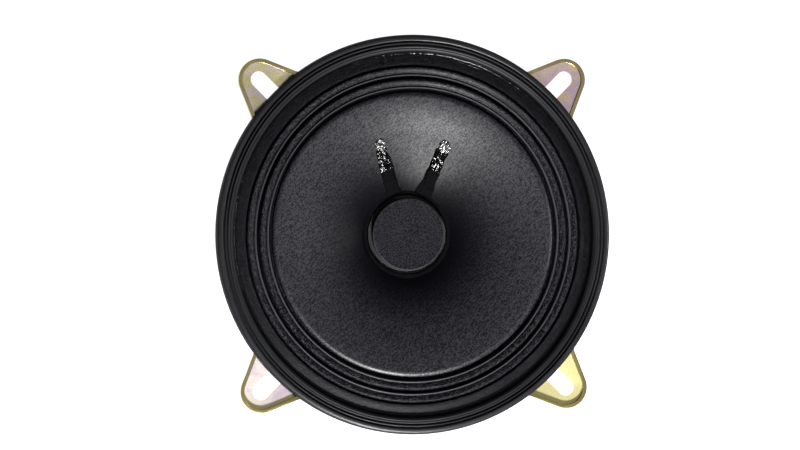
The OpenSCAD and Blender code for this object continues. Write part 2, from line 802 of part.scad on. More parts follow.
module terminal_lug(side) {
  bend = [lug_bend_x, board_t];
  path = soft_path([[-pin_head_d / 2 - lug_back, board_t], bend,
    bend + lug_tab * [cos(tab_turn), sin(tab_turn)]], [lug_bend_r]);
  color([0.82, 0.8, 0.74]) on_leg() translate([0, side * lug_y, 0]) difference() {
    rotate([90, 0, 0]) translate([0, 0, -lug_w / 2]) linear_extrude(lug_w)
      polygon(wall(path, lug_t));
    translate([0, 0, board_t - past]) cylinder(d = pin_d, h = lug_t + 2 * past);
    translate([bend[0], 0, bend[1]]) rotate([0, -tab_turn, 0])
      translate([lug_tab - lug_hole_in, 0, -past]) cylinder(d = lug_hole_d, h = lug_t + 2 * past);
  }
}

module polarity_dot() {
  color([0.75, 0.1, 0.08]) on_leg() translate([0, lug_y - dot_in, board_t])
    cylinder(d = dot_d, h = dot_t);
}

// Tinsel leads

// Route of the left lead between its two ends, with x along the terminal leg
tinsel_route = [
  [28.9, 11.3, -8.2], [29.9, 12.9, -10.8], [32.6, 15.6, -12.3], [36.4, 17.8, -12.4],
  [40.6, 18.5, -11.3], [43.9, 17.2, -9.5], [45.6, 15.0, -8.0], [46.5, 13.1, -7.6]
];

// Directions and places of the two ends: the back of the eyelet and the lug's rivet
function tinsel_ends(a) =
  let (s = cone_slope(eyelet_at), back = cone_t + eyelet_seat + eyelet_rim_t)
  let (out = [sin(s) * cos(a), sin(s) * sin(a), -cos(s)])
  [[eyelet_at * cos(a), eyelet_at * sin(a), cone_z(eyelet_at)] + back * out, out];
tinsel_foot = [wall_mid[0], lug_y, wall_mid[1]]
  - pin_head_h * [wall_out[0], 0, wall_out[1]];

// Smooth curve through points, with two steps for each span
function between(p, i, t) =
  let (n = len(p), a = p[max(i - 1, 0)], b = p[i], c = p[i + 1], d = p[min(i + 2, n - 1)])
  0.5 * (2 * b + (c - a) * t + (2 * a - 5 * b + 4 * c - d) * t * t
    + (3 * b - a - 3 * c + d) * t * t * t);
function smooth(p) = concat(
  [for (i = [0 : len(p) - 2]) each [p[i], between(p, i, 0.5)]], [p[len(p) - 1]]);

// Ring of a tube: a centre, a direction and a fixed side vector
function ring(p, d, r, n) =
  let (u = unit(cross(d, ring_side)), v = unit(cross(d, u)))
  [for (k = [0 : n - 1]) p + r * (cos(k * 360 / n) * u + sin(k * 360 / n) * v)];

module swept(path, first, last, r, n) {
  m = len(path);
  dirs = [for (i = [0 : m - 1]) i == 0 ? first : i == m - 1 ? last
    : unit(path[i + 1] - path[i - 1])];
  polyhedron(
    points = [for (i = [0 : m - 1]) each ring(path[i], dirs[i], r, n)],
    faces = concat(
      [[for (k = [0 : n - 1]) k]],
      [for (i = [0 : m - 2], k = [0 : n - 1]) let (a = i * n + k, b = i * n + (k + 1) % n) each
        [[a, a + n, b], [b, a + n, b + n]]],
      [[for (k = [n - 1 : -1 : 0]) (m - 1) * n + k]]
    )
  );
}

module tinsel_lead(a) {
  ends = tinsel_ends(a);
  path = smooth(concat([ends[0]], tinsel_route, [tinsel_foot]));
  swept(path, ends[1], [wall_out[0], 0, wall_out[1]], tinsel_d / 2, tinsel_sides);
}

basket();
front_gasket();
gasket_adhesive();
surround();
cone();
dust_cap();
dust_cap_glue();
coil_former();
coil_collar();
neck_glue();
voice_coil();
coil_lead(left_a);  // coil_lead_left
coil_lead(-right_a);  // coil_lead_right
lead_cement(left_a);  // lead_cement_left
lead_cement(-right_a);  // lead_cement_right
cone_eyelet(left_a);  // cone_eyelet_left
cone_eyelet(-right_a);  // cone_eyelet_right
solder_joint(left_a);  // solder_joint_left
solder_joint(-right_a);  // solder_joint_right
color([0.8, 0.6, 0.4]) rotate([0, 0, leg_a]) tinsel_lead(left_a);  // tinsel_lead_left
color([0.8, 0.6, 0.4]) rotate([0, 0, leg_a]) mirror([0, 1, 0]) tinsel_lead(right_a);  // tinsel_lead_right
spider();
front_plate();
magnet();
back_plate();
pole_piece();
frame_rivets();
terminal_board();
board_rivets();
terminal_lug(1);  // terminal_lug_left
terminal_lug(-1);  // terminal_lug_right
lug_rivets();
polarity_dot();
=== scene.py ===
# %% [markdown]
# A full-range speaker driver, seen from the listener's side: a pressed steel basket with four
# slotted ears, a black gasket, a corrugated surround, a paper cone and a dust cap. The packed
# model gives every rigid part at its real size. This lesson adds what a workshop would add last:
# the cloth, paper, glue and solder as modelled pieces, and a finish for every surface.

import math

import bpy
from mathutils import Matrix, Vector, noise
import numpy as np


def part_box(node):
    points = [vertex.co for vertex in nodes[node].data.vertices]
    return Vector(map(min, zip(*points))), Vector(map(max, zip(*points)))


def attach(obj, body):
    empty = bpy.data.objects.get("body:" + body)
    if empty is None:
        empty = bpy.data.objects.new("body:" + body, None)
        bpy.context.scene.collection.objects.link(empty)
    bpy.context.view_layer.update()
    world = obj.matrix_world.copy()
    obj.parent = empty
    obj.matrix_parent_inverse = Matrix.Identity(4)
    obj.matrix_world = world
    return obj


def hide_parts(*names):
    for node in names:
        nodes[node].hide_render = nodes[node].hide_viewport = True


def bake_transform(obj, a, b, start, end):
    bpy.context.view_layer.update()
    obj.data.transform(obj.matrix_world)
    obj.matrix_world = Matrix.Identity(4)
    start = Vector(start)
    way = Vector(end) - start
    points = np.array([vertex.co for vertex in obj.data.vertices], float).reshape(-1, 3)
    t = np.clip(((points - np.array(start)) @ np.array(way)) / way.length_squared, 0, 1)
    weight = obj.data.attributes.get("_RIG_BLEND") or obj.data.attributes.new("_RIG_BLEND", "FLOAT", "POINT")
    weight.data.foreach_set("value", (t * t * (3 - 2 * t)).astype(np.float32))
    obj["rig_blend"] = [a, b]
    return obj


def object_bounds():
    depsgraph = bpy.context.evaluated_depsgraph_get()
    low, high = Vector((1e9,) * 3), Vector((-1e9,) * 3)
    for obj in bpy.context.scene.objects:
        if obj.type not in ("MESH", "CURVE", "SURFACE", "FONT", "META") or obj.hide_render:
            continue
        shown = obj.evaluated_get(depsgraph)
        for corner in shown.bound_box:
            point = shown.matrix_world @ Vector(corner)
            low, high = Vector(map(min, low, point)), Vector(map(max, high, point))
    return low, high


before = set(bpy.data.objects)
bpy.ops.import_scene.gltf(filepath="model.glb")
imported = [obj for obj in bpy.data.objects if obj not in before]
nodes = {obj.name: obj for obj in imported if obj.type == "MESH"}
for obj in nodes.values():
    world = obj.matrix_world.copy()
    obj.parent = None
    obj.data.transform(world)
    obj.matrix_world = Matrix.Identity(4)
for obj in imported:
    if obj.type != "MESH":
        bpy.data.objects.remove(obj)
cad_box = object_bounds()
bpy.ops.object.select_all(action="DESELECT")
print(len(nodes), "parts in the frame, from", cad_box[0], "to", cad_box[1])

# %% [markdown]
# All sizes below are written in millimetres, as on a drawing, and MM turns them into Blender's
# metres. The driver's axis is Z. The picture is turned by 45 degrees against the ears, so its
# right and its top are two slanted directions of the frame, RIGHT and UP.

# %% Units and directions
MM = 0.001
DIAGONAL = math.sqrt(0.5)
RIGHT = Vector((DIAGONAL, -DIAGONAL, 0))
UP = Vector((DIAGONAL, DIAGONAL, 0))
OUT = Vector((0, 0, 1))
print("picture right", RIGHT, "picture top", UP)

# %% [markdown]
# The camera stands far off and uses a long lens, because the rings of the driver look almost
# round and equally wide on both sides. It stands about ten degrees off the axis, towards the
# picture's left, which shows more of the gasket's left side. A long lens keeps the shape true.

# %% Camera
PHOTO_WIDTH = 800
LENS_PIXELS = 3681
SENSOR = 36
CAMERA_AWAY = 1200 * MM
TILT_LEFT = math.radians(10.3)
TILT_DOWN = math.radians(-0.26)
ROLL = math.radians(-0.36)
AIM = (-4.29 * RIGHT + 3.15 * UP) * MM


def place_camera():
    side = -math.sin(TILT_LEFT) * math.cos(TILT_DOWN)
    down = -math.sin(TILT_DOWN)
    away = math.cos(TILT_LEFT) * math.cos(TILT_DOWN)
    back = side * RIGHT + down * UP + away * OUT
    level = UP.cross(back).normalized()
    upright = back.cross(level)
    across = level * math.cos(ROLL) + upright * math.sin(ROLL)
    above = back.cross(across)
    turn = Matrix((across, above, back)).transposed().to_4x4()
    bpy.ops.object.camera_add()
    camera = bpy.context.object
    camera.name = "photo_camera"
    camera.data.sensor_width = SENSOR
    camera.data.lens = LENS_PIXELS / PHOTO_WIDTH * SENSOR
    camera.data.clip_start = 0.05
    camera.data.clip_end = 100
    camera.matrix_world = Matrix.Translation(AIM + CAMERA_AWAY * back) @ turn
    bpy.context.scene.camera = camera
    return camera


camera = place_camera()
print("lens", round(camera.data.lens, 1), "mm, camera at", camera.location)

# %% [markdown]
# Leads, cement, solder and glue all lie on the paper of the cone, so its curve comes first. A
# pressed cone is steep at its neck and flatter towards its edge, and one power of the radius
# gives that. The outer third of the paper stands a little above the plain curve, so it ends
# flatter still. Each point is given as a radius and a height.

# %% Curve of the cone
CONE_EDGE = (46.3, 1.1)
CONE_NECK = (10.5, -15.1)
CONE_CURVE = 0.55
FLARE_FROM = 32
FLARE_HEIGHT = 0.25
FLARE_SCALE = 27 / 4


def cone_height(radius):
    share = max(radius - CONE_NECK[0], 0) / (CONE_EDGE[0] - CONE_NECK[0])
    return CONE_NECK[1] + (CONE_EDGE[1] - CONE_NECK[1]) * share ** CONE_CURVE


def cone_flare(radius):
    """How far the paper stands above the plain curve. The scale brings the top to 1."""
    share = min(max((radius - FLARE_FROM) / (CONE_EDGE[0] - FLARE_FROM), 0), 1)
    return FLARE_HEIGHT * share ** 2 * (1 - share) * FLARE_SCALE


def cone_slope(radius, step=0.2):
    return math.atan2(cone_height(radius + step) - cone_height(radius - step), 2 * step)


print("the cone is", round(CONE_EDGE[1] - CONE_NECK[1], 1), "mm deep")

# %% [markdown]
# Two tinsel leads carry the current from the terminals to the moving cone. Their route runs from
# an eyelet in the paper, down and outwards in a slack curve, and up to a lug of the terminals.
# A Catmull-Rom curve passes through every point that it is given, so the ends stay exact.
# The leads come first of all pieces, because their route is a fixed fact of the frame.

# %% Routes of the tinsel leads
TERMINAL_LEG = math.radians(45)
LEAD_MIDDLE = [
    (28.9, 11.3, -8.2), (29.9, 12.9, -10.8), (32.6, 15.6, -12.3), (36.4, 17.8, -12.4),
    (40.6, 18.5, -11.3), (43.9, 17.2, -9.5), (45.6, 15.0, -8.0), (46.5, 13.1, -7.6),
]
LEAD_END = (47.74, 12.2, -8.64)
EYELET_AT = 30.5
EYELET_ANGLES = {"left": math.radians(19), "right": math.radians(-21.5)}
SURFACE_GAP = 0.83
ROUTE_STEPS = 12


def lead_points(side):
    """The points of one lead in metres, from its eyelet to its lug."""
    angle = EYELET_ANGLES[side]
    mirror = 1 if side == "left" else -1
    slope = cone_slope(EYELET_AT)
    start_r = EYELET_AT + SURFACE_GAP * math.sin(slope)
    start_z = cone_height(EYELET_AT) - SURFACE_GAP * math.cos(slope)
    points = [Vector((start_r * math.cos(angle), start_r * math.sin(angle), start_z))]
    points += [Vector((x, mirror * y, z)) for x, y, z in LEAD_MIDDLE]
    points.append(Vector((LEAD_END[0], mirror * LEAD_END[1], LEAD_END[2])))
    turn = Matrix.Rotation(TERMINAL_LEG, 3, "Z")
    return [turn @ point * MM for point in points]


def smooth_line(points, steps):
    """A Catmull-Rom curve through the points, with so many steps between each two."""
    ends = [2 * points[0] - points[1]] + points + [2 * points[-1] - points[-2]]
    line = []
    for i in range(len(points) - 1):
        a, b, c, d = ends[i:i + 4]
        for step in range(steps):
            t = step / steps
            line.append(b + (c - a) * t / 2 + (2 * a - 5 * b + 4 * c - d) * t ** 2 / 2
                        + (3 * b - a - 3 * c + d) * t ** 3 / 2)
    return line + [points[-1]]


def line_length(line):
    return sum((b - a).length for a, b in zip(line, line[1:]))


routes = {side: lead_points(side) for side in EYELET_ANGLES}
for side, points in routes.items():
    length = line_length(smooth_line(points, ROUTE_STEPS)) / MM
    print(side, "lead is", round(length, 1), "mm long")

# %% [markdown]
# A real tinsel lead is a braid of thin copper strips round a textile core, so it bends thousands
# of times without breaking. A plain tube would look like a wire. Here strands wind both ways
# round the route and weave over and under each other, and each strand is one spline of a curve
# that is then made a mesh.

# %% Braided tinsel leads
BRAID_STRANDS = 5
BRAID_LAY = 5.0
STRAND_R = 0.15
BRAID_R = 0.31
WEAVE_DEPTH = 0.05
BRAID_STEPS = 40


def frames_along(line):
    """A point, a side and another side for each point of the line, without any twist."""
    side = (line[1] - line[0]).orthogonal().normalized()
    made = []
    for i, point in enumerate(line):
        ahead = (line[min(i + 1, len(line) - 1)] - line[max(i - 1, 0)]).normalized()
        side = (side - ahead * side.dot(ahead)).normalized()
        made.append((point, side, ahead.cross(side)))
    return made


def braid(name, points):
    line = smooth_line(points, BRAID_STEPS)
    curve = bpy.data.curves.new(name, "CURVE")
    curve.dimensions = "3D"
    curve.bevel_depth = STRAND_R * MM
    curve.bevel_resolution = 1
    curve.use_fill_caps = True
    steps = frames_along(line)
    for way in (1, -1):
        for strand in range(BRAID_STRANDS):
            spline = curve.splines.new("POLY")
            spline.points.add(len(steps) - 1)
            along = 0
            last = line[0]
            for i, (point, side, other) in enumerate(steps):
                along += (point - last).length / MM
                last = point
                turn = math.tau * (way * along / BRAID_LAY + strand / BRAID_STRANDS)
                weave = way * math.sin(BRAID_STRANDS * math.tau * along / BRAID_LAY)
                reach = (BRAID_R + WEAVE_DEPTH * weave) * MM
                place = point + reach * (math.cos(turn) * side + math.sin(turn) * other)
                spline.points[i].co = (*place, 1)
    lead = bpy.data.objects.new(name, curve)
    bpy.context.collection.objects.link(lead)
    bpy.context.view_layer.objects.active = lead
    lead.select_set(True)
    bpy.ops.object.convert(target="MESH")
    lead = bpy.context.object
    lead.select_set(False)
    return lead


leads = {}
for side, points in routes.items():
    lead = braid("braided_lead_" + side, points)
    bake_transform(lead, "chassis", "cone_assembly", start=points[-1], end=points[0])
    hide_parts("tinsel_lead_" + side)
    smooth_line(points, ROUTE_STEPS)
    leads[side] = lead
    print(lead.name, len(lead.data.polygons), "faces")

# %% [markdown]
# The driver lies on its magnet, on a plain pale floor. The photograph's background is washed out
# to white, so the floor gives off light of its own, as a lit table does. The main lamp stands
# where the photograph's highlights say: below the picture, half way up the sky. It is fairly
# small, because the gasket's shadow has a sharp edge. A weak lamp on the right makes the glints
# of the glue on the left. The room adds a bright sweep near the floor and a panel overhead.

# %% Floor and lights
FLOOR_SIZE = 40
FLOOR_GLOW = 1.15
KEY_AWAY = 0.6
KEY_SIZE = 0.12
KEY_POWER = 9.8
KEY_HEIGHT = math.radians(43)
GLINT_SIZE = 0.05
GLINT_POWER = 1.0
GLINT_HEIGHT = math.radians(28)
SWEEP_LIGHT = 0.8
UPPER_LIGHT = 0.03
SWEEP_TOP = (0.0, 0.22)
PANEL_LIGHT = 0.5
PANEL_TILT = math.radians(10)
PANEL_EDGE = (math.cos(math.radians(45)), math.cos(math.radians(20)))


def add_floor():
    bpy.ops.mesh.primitive_plane_add(size=FLOOR_SIZE, location=(0, 0, cad_box[0].z))
    floor = bpy.context.object
    floor.name = "studio_floor"
    return floor


def add_softbox(name, direction, away, size, power):
    place = direction.normalized() * away
    bpy.ops.object.light_add(type="AREA", location=place)
    lamp = bpy.context.object
    lamp.name = name
    lamp.data.shape = "SQUARE"
    lamp.data.size = size
    lamp.data.energy = power
    lamp.rotation_euler = direction.to_track_quat("Z", "Y").to_euler()
    return lamp


floor = add_floor()
key_direction = -math.cos(KEY_HEIGHT) * UP + math.sin(KEY_HEIGHT) * OUT
key = add_softbox("key_softbox", key_direction, KEY_AWAY, KEY_SIZE, KEY_POWER)
glint_direction = math.cos(GLINT_HEIGHT) * RIGHT + math.sin(GLINT_HEIGHT) * OUT
glint = add_softbox("glint_lamp", glint_direction, KEY_AWAY, GLINT_SIZE, GLINT_POWER)
bpy.context.scene.view_settings.view_transform = "Standard"
print("lamps of", key.data.energy, "and", glint.data.energy, "W")

# %% [markdown]
# A finish is a small sum of patterns. To keep such sums readable, this cell wraps a node socket
# in a class, so that Python's own signs add the Math nodes: 1 - mask, grain * 0.3 + wear.

# %% Shader maths


class Field:
    """A number that varies over a surface. Sums on it add Math nodes to its material."""

    def __init__(self, finish, socket):
        self.finish = finish
        self.socket = socket

    def math(self, operation, *values):
        made = self.finish.node("Math", {"operation": operation}, dict(enumerate(values)))
        return Field(self.finish, made.outputs[0])

    def __add__(self, other):
        return self.math("ADD", self, other)

    def __sub__(self, other):
        return self.math("SUBTRACT", self, other)

    def __rsub__(self, other):
        return self.math("SUBTRACT", other, self)

    def __mul__(self, other):
        return self.math("MULTIPLY", self, other)

    def __pow__(self, other):
        return self.math("POWER", self, other)

    __radd__ = __add__
    __rmul__ = __mul__

    def sine(self):
        return self.math("SINE", self)

    def size(self):
        return self.math("ABSOLUTE", self)

    def ramp(self, low, high):
        """0 below low and 1 above high, with a smooth step between them."""
        settings = {"interpolation_type": "SMOOTHSTEP"}
        made = self.finish.node("MapRange", settings, {0: self, 1: low, 2: high})
        return Field(self.finish, made.outputs[0])


print("a Field can also do", [name for name in vars(Field) if "_" not in name])

# %% [markdown]
# One Finish is one material. Any node but Math comes from its method node(), which takes the
# node's type, its settings and the values or links of its sockets. The patterns are measured in
# millimetres on Object coordinates, so they stay on the piece wherever it goes, and polar()
# bends them round the axis for what is turned or moulded in rings.

# %% Finishes


class Finish:
    """One material. Keyword names are shader sockets with one value all over the surface."""

    def __init__(self, name, **sockets):
        self.material = bpy.data.materials.new(name)
        self.material.use_nodes = True
        self.shader = self.material.node_tree.nodes["Principled BSDF"]
        for socket, value in sockets.items():
            self.shader.inputs[socket.replace("_", " ")].default_value = value
        self.tree = self.material.node_tree
        self.texture_place = None

    def node(self, kind, settings, sockets):
        made = self.tree.nodes.new("ShaderNode" + kind)
        for name, value in settings.items():
            setattr(made, name, value)
        for key, value in sockets.items():
            if isinstance(value, Field):
                value = value.socket
            if isinstance(value, bpy.types.NodeSocket):
                self.tree.links.new(value, made.inputs[key])
            else:
                made.inputs[key].default_value = value
        return made

    def place(self, scale=(1, 1, 1), turn=(0, 0, 0)):
        """Object coordinates in millimetres, stretched and turned if asked."""
        if self.texture_place is None:
            self.texture_place = self.node("TexCoord", {}, {}).outputs["Object"]
        sizes = [s / MM for s in scale]
        sockets = {"Vector": self.texture_place, "Rotation": turn, "Scale": sizes}
        return self.node("Mapping", {}, sockets).outputs[0]

    def axes(self):
        made = self.node("SeparateXYZ", {}, {0: self.place()})
        return [Field(self, made.outputs[i]) for i in range(3)]

    def radius(self):
        x, y, z = self.axes()
        return (x * x + y * y) ** 0.5

    def angle(self):
        x, y, z = self.axes()
        return x.math("ARCTAN2", y, x)

    def polar(self, along, across):
        """A place that follows the rings: turns round the axis, then radius, then height."""
        x, y, z = self.axes()
        sockets = {0: self.angle() * along, 1: self.radius() * across, 2: z}
        return self.node("CombineXYZ", {}, sockets).outputs[0]

    def noise(self, size, detail=3, rough=0.5, place=None, warp=0):
        """Cloudy noise from 0 to 1, with spots of about the given size."""
        sockets = {"Vector": place or self.place(), "Scale": 1 / size, "Detail": detail,
                   "Roughness": rough, "Distortion": warp}
        return Field(self, self.node("TexNoise", {}, sockets).outputs[0])

    def cells(self, size, place=None):
        """The distance to the middle of the nearest of many scattered cells."""
        sockets = {"Vector": place or self.place(), "Scale": 1 / size}
        return Field(self, self.node("TexVoronoi", {}, sockets).outputs[0])

    def mix(self, share, first, second):
        sockets = {0: share, 6: self.colour(first), 7: self.colour(second)}
        made = self.node("Mix", {"data_type": "RGBA"}, sockets)
        return made.outputs[2]

    def colour(self, value):
        if isinstance(value, tuple):
            return (*value, 1)
        return value

    def set(self, socket, value):
        if isinstance(value, Field):
            value = value.socket
        self.tree.links.new(value, self.shader.inputs[socket])

    def bump(self, height, strength=1.0):
        """Relief from a height in millimetres."""
        sockets = {"Strength": strength, "Distance": MM, "Height": height}
        self.set("Normal", self.node("Bump", {}, sockets).outputs[0])


print("a pattern of size 1 is", MM, "m wide")

# %% [markdown]
# The room is the world around the driver. Black gloss and bright plating mirror it more than
# they show the lamps, so its three zones matter: bright near the floor, dark above, and one
# soft panel overhead. It is made with the same nodes as a finish.

# %% Light of the room


class Surroundings(Finish):
    """The light of the room, made with the same nodes as a finish."""

    def __init__(self, name):
        self.world = bpy.data.worlds.new(name)
        self.world.use_nodes = True
        self.tree = self.world.node_tree
        self.shader = self.tree.nodes["Background"]


def room_light():
    room = Surroundings("studio_room")
    place = room.node("TexCoord", {}, {}).outputs["Generated"]
    height = Field(room, room.node("SeparateXYZ", {}, {0: place}).outputs[2])
    dark = height.ramp(*SWEEP_TOP)
    middle = math.cos(PANEL_TILT) * OUT + math.sin(PANEL_TILT) * RIGHT
    near = room.node("VectorMath", {"operation": "DOT_PRODUCT"}, {0: place, 1: middle})
    panel = Field(room, near.outputs["Value"]).ramp(*PANEL_EDGE)
    room.shader.inputs["Color"].default_value = (1, 1, 1, 1)
    around = SWEEP_LIGHT + dark * (UPPER_LIGHT - SWEEP_LIGHT)
    room.set("Strength", around + panel * PANEL_LIGHT)
    return room.world


bpy.context.scene.world = room_light()
print("the room is lit by", bpy.context.scene.world.name)

# %% [markdown]
# The round pieces are all turned shapes. A circle is drawn at the first point of the outline and
# extruded from point to point, each time scaled to the next radius and moved to the next height,
# as one would pull a pot. A closed outline is bridged back to its first ring. A spun curve would
# do as well, but leaves a seam to merge. The front of a sheet must look towards the listener.

# %% Turned pieces
FINE = 384
COARSE = 256


def pick(piece):
    """Selects this piece alone and makes it the active one."""
    bpy.ops.object.select_all(action="DESELECT")
    piece.select_set(True)
    bpy.context.view_layer.objects.active = piece


def start_edit(piece):
    pick(piece)
    bpy.ops.object.mode_set(mode="EDIT")


def end_edit(piece, angle=40):
    bpy.ops.object.mode_set(mode="OBJECT")
    bpy.ops.object.shade_smooth_by_angle(angle=math.radians(angle))
    piece.select_set(False)
    return piece


def turned(name, outline, steps=FINE, closed=False, angle=40):
    """A piece turned round the axis from an outline of radii and heights."""
    radius, height = outline[0]
    bpy.ops.mesh.primitive_circle_add(vertices=steps, radius=radius * MM)
    piece = bpy.context.object
    piece.name = name
    start_edit(piece)
    bpy.ops.mesh.select_all(action="SELECT")
    bpy.ops.transform.translate(value=(0, 0, height * MM))
    for next_radius, next_height in outline[1:]:
        share = next_radius / radius
        bpy.ops.mesh.extrude_region()
        bpy.ops.transform.resize(value=(share, share, 1), center_override=(0, 0, 0))
        bpy.ops.transform.translate(value=(0, 0, (next_height - height) * MM))
        radius, height = next_radius, next_height
    if closed:
        bpy.ops.mesh.select_all(action="DESELECT")
        bpy.ops.mesh.select_non_manifold()
        bpy.ops.mesh.bridge_edge_loops()
    bpy.ops.mesh.select_all(action="SELECT")
    bpy.ops.mesh.normals_make_consistent(inside=False)
    return end_edit(piece, angle)


def off_axis(vertex):
    return Vector(vertex.co[:2]).length


def close_pole(piece):
    """Draws the inner ring of a sheet together to one point on the axis."""
    start_edit(piece)
    bpy.ops.mesh.select_all(action="DESELECT")
    bpy.ops.object.mode_set(mode="OBJECT")
    inner = min(off_axis(vertex) for vertex in piece.data.vertices)
    for vertex in piece.data.vertices:
        vertex.select = off_axis(vertex) < inner + 0.01 * MM
    bpy.ops.object.mode_set(mode="EDIT")
    bpy.ops.mesh.extrude_region()
    bpy.ops.mesh.merge(type="CENTER")
    bpy.ops.mesh.select_all(action="SELECT")
    bpy.ops.mesh.normals_make_consistent(inside=False)
    return end_edit(piece)


print("turned pieces have", FINE, "or", COARSE, "steps")

# %% [markdown]
# Paper, cloth and glue are seldom even. A sheet is turned as its front skin alone, faced to the
# listener and thickened backwards by Solidify, so its front stays where it was drawn. Glue and
# solder are then pushed about by noise, as they set in lumps.

# %% Sheets, lumps and labels


def face_front(piece):
    """Turns a sheet's faces towards the listener."""
    if sum(face.normal.z * face.area for face in piece.data.polygons) < 0:
        start_edit(piece)
        bpy.ops.mesh.select_all(action="SELECT")
        bpy.ops.mesh.flip_normals()
        end_edit(piece)


def apply(piece, kind, **settings):
    """Adds a modifier and applies it at once."""
    pick(piece)
    modifier = piece.modifiers.new(kind.lower(), kind)
    for name, value in settings.items():
        setattr(modifier, name, value)
    bpy.ops.object.modifier_apply(modifier=modifier.name)
    piece.select_set(False)


def thicken(piece, thickness):
    """Gives a front sheet its thickness, towards the back."""
    face_front(piece)
    apply(piece, "SOLIDIFY", thickness=thickness * MM, offset=-1, use_even_offset=True)


def lump(piece, size, height, seed=0):
    """Raises and sinks a surface by cloudy noise, as glue and solder set."""
    shift = Vector((seed * 7.3, seed * 3.1, seed * 5.7))
    moves = []
    for vertex in piece.data.vertices:
        wave = noise.noise(vertex.co / (size * MM) + shift)
        moves.append(vertex.normal * wave * height * MM)
    for vertex, move in zip(piece.data.vertices, moves):
        vertex.co += move
    piece.data.update()


def finish_piece(piece, finish, body, node):
    """Gives a piece its material and says what it rides on, replaces and is made of."""
    piece.data.materials.clear()
    piece.data.materials.append(finish.material)
    if body:
        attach(piece, body)
    if node:
        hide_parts(node)
    print(piece.name, len(piece.data.polygons), "faces")


def rounded(points, steps):
    """An outline with more points, on a smooth curve through the given ones."""
    line = smooth_line([Vector((*point, 0)) for point in points], steps)
    return [(point.x, point.y) for point in line]


print("two spans in 4 steps have", len(rounded([(0, 0), (1, 1), (2, 0)], 4)), "points")

# %% [markdown]
# The gasket is moulded rubber. Its face has two fine grooves and some finer ridges from the
# mould, which catch the light as thin rings. Its outline is closed, with a rebate at the foot
# that covers the rim of the surround. Dust and finger marks make rubber's gloss uneven. The
# outer band is a little lighter, which is bloom on old rubber, and the inner one is duller.
# The grooves and the walls below the open face are painted near black, as painted shade.

# %% Rubber finish
GASKET_TOP = 4.2
OPEN_FACE = (GASKET_TOP - 0.5, GASKET_TOP - 0.2)
OUTER_BAND = (62.9, 63.4)
INNER_BAND = (62.5, 62.2)


def rubber():
    made = Finish("moulded_rubber", Specular_IOR_Level=0.26)
    rings = made.noise(0.4, 3, place=made.polar(3, 1.6))
    marks = made.noise(9, 4, 0.6)
    outer = made.radius().ramp(*OUTER_BAND)
    inner = made.radius().ramp(*INNER_BAND)
    x, y, z = made.axes()
    open_face = z.ramp(*OPEN_FACE)
    base = made.mix(marks, (0.002, 0.002, 0.003), (0.005, 0.005, 0.007))
    bloom = made.mix(marks, (0.006, 0.006, 0.007), (0.012, 0.012, 0.015))
    face = made.mix(outer, base, bloom)
    # Below the open face, in the grooves and on the walls, the colour is painted near black: painted shade.
    made.set("Base Color", made.mix(open_face, (0.001, 0.001, 0.001), face))
    made.set("Roughness", marks * 0.2 + 0.68 - open_face * 0.42 + inner * open_face * 0.15)
    made.bump(rings * 0.05 + made.noise(0.4, 3) * 0.02, 0.7)
    return made


gasket_finish = rubber()
print(gasket_finish.material.name)

# %% Gasket
GASKET_OUT = 65.15
GASKET_FOOT = 1.0
GASKET_REBATE = (62.4, 1.4)
GASKET_FACE = [
    (65.1, 1.6), (64.95, 0.9), (64.78, 0.45), (64.5, 0.2), (64.2, 0.07), (63.85, 0.01), (63.5, 0),
    (63.28, 0.03), (63.1, 0.14), (63.0, 0.32), (62.94, 0.9), (62.58, 0.9), (62.55, 0.35),
    (62.46, 0.14), (62.3, 0.05), (62.12, 0.09), (61.98, 0.24), (61.9, 0.45), (61.88, 0.9),
    (61.55, 0.9), (61.53, 0.35), (61.44, 0.15), (61.27, 0.05), (61.05, 0.04), (60.85, 0.1),
    (60.72, 0.19), (60.62, 0.15), (60.5, 0.05), (60.36, 0.06), (60.15, 0.2), (59.9, 0.36),
    (59.72, 0.55), (59.6, 0.9),
]


def gasket_outline():
    points = [GASKET_REBATE, (GASKET_REBATE[0], GASKET_FOOT), (GASKET_OUT, GASKET_FOOT)]
    points += [(radius, GASKET_TOP - down) for radius, down in GASKET_FACE]
    return points + [(GASKET_FACE[-1][0], GASKET_REBATE[1])]


gasket = turned("gasket_ring", gasket_outline(), closed=True, angle=25)
finish_piece(gasket, gasket_finish, "chassis", "front_gasket")

# %% [markdown]
# The surround is cloth, pressed into rolls and painted with a sticky damping coat. The weave
# still shows as fine light grains on top of each roll, while the ridge next to each valley is
# smooth, and is painted lighter along its crest, a painted highlight. A cloth ring like this is
# too stiff to hang, so it is turned from its outline and gets its thickness from Solidify. The
# weave follows the rings, as it does on the part.

# %% Coated cloth finish
RIBS = (52.05, 48.0)
RIB_EDGE = (0.36, 0.18)
ROLLS_UP_TO = (55.0, 55.6)
CREST_FROM = (1.0, 1.8)


def coated_cloth():
    made = Finish("coated_cloth", Specular_IOR_Level=0.12)
    x, y, z = made.axes()
    radius = made.radius()
    crest = z.ramp(*CREST_FROM) * (1 - radius.ramp(*ROLLS_UP_TO))
    smooth_rib_and_highlight = 0
    for rib_r in RIBS:
        smooth_rib_and_highlight = (radius - rib_r).size().ramp(*RIB_EDGE) + smooth_rib_and_highlight
    weave = made.noise(0.42, 3, 0.6)
    threads = made.cells(1.0, made.polar(80, 1.8))
    patches = made.noise(6, 3)
    grain = (weave * 0.8 + threads * 0.2).ramp(0.50, 0.58)
    spots = grain * (crest * 0.8 + 0.2) * (1 - smooth_rib_and_highlight)
    cloth = made.mix(spots, (0.001, 0.001, 0.002), (0.030, 0.030, 0.034))
    # The ribs are smoother and painted lighter: a painted highlight along each ridge.
    made.set("Base Color", made.mix(smooth_rib_and_highlight, cloth, (0.055, 0.055, 0.060)))
    made.set("Roughness", patches * 0.1 + 0.30 + spots * 0.15 - smooth_rib_and_highlight * 0.08)
    made.bump(grain * 0.04 * (1 - smooth_rib_and_highlight) + weave * 0.05, 0.8)
    return made


surround_finish = coated_cloth()
print(surround_finish.material.name)

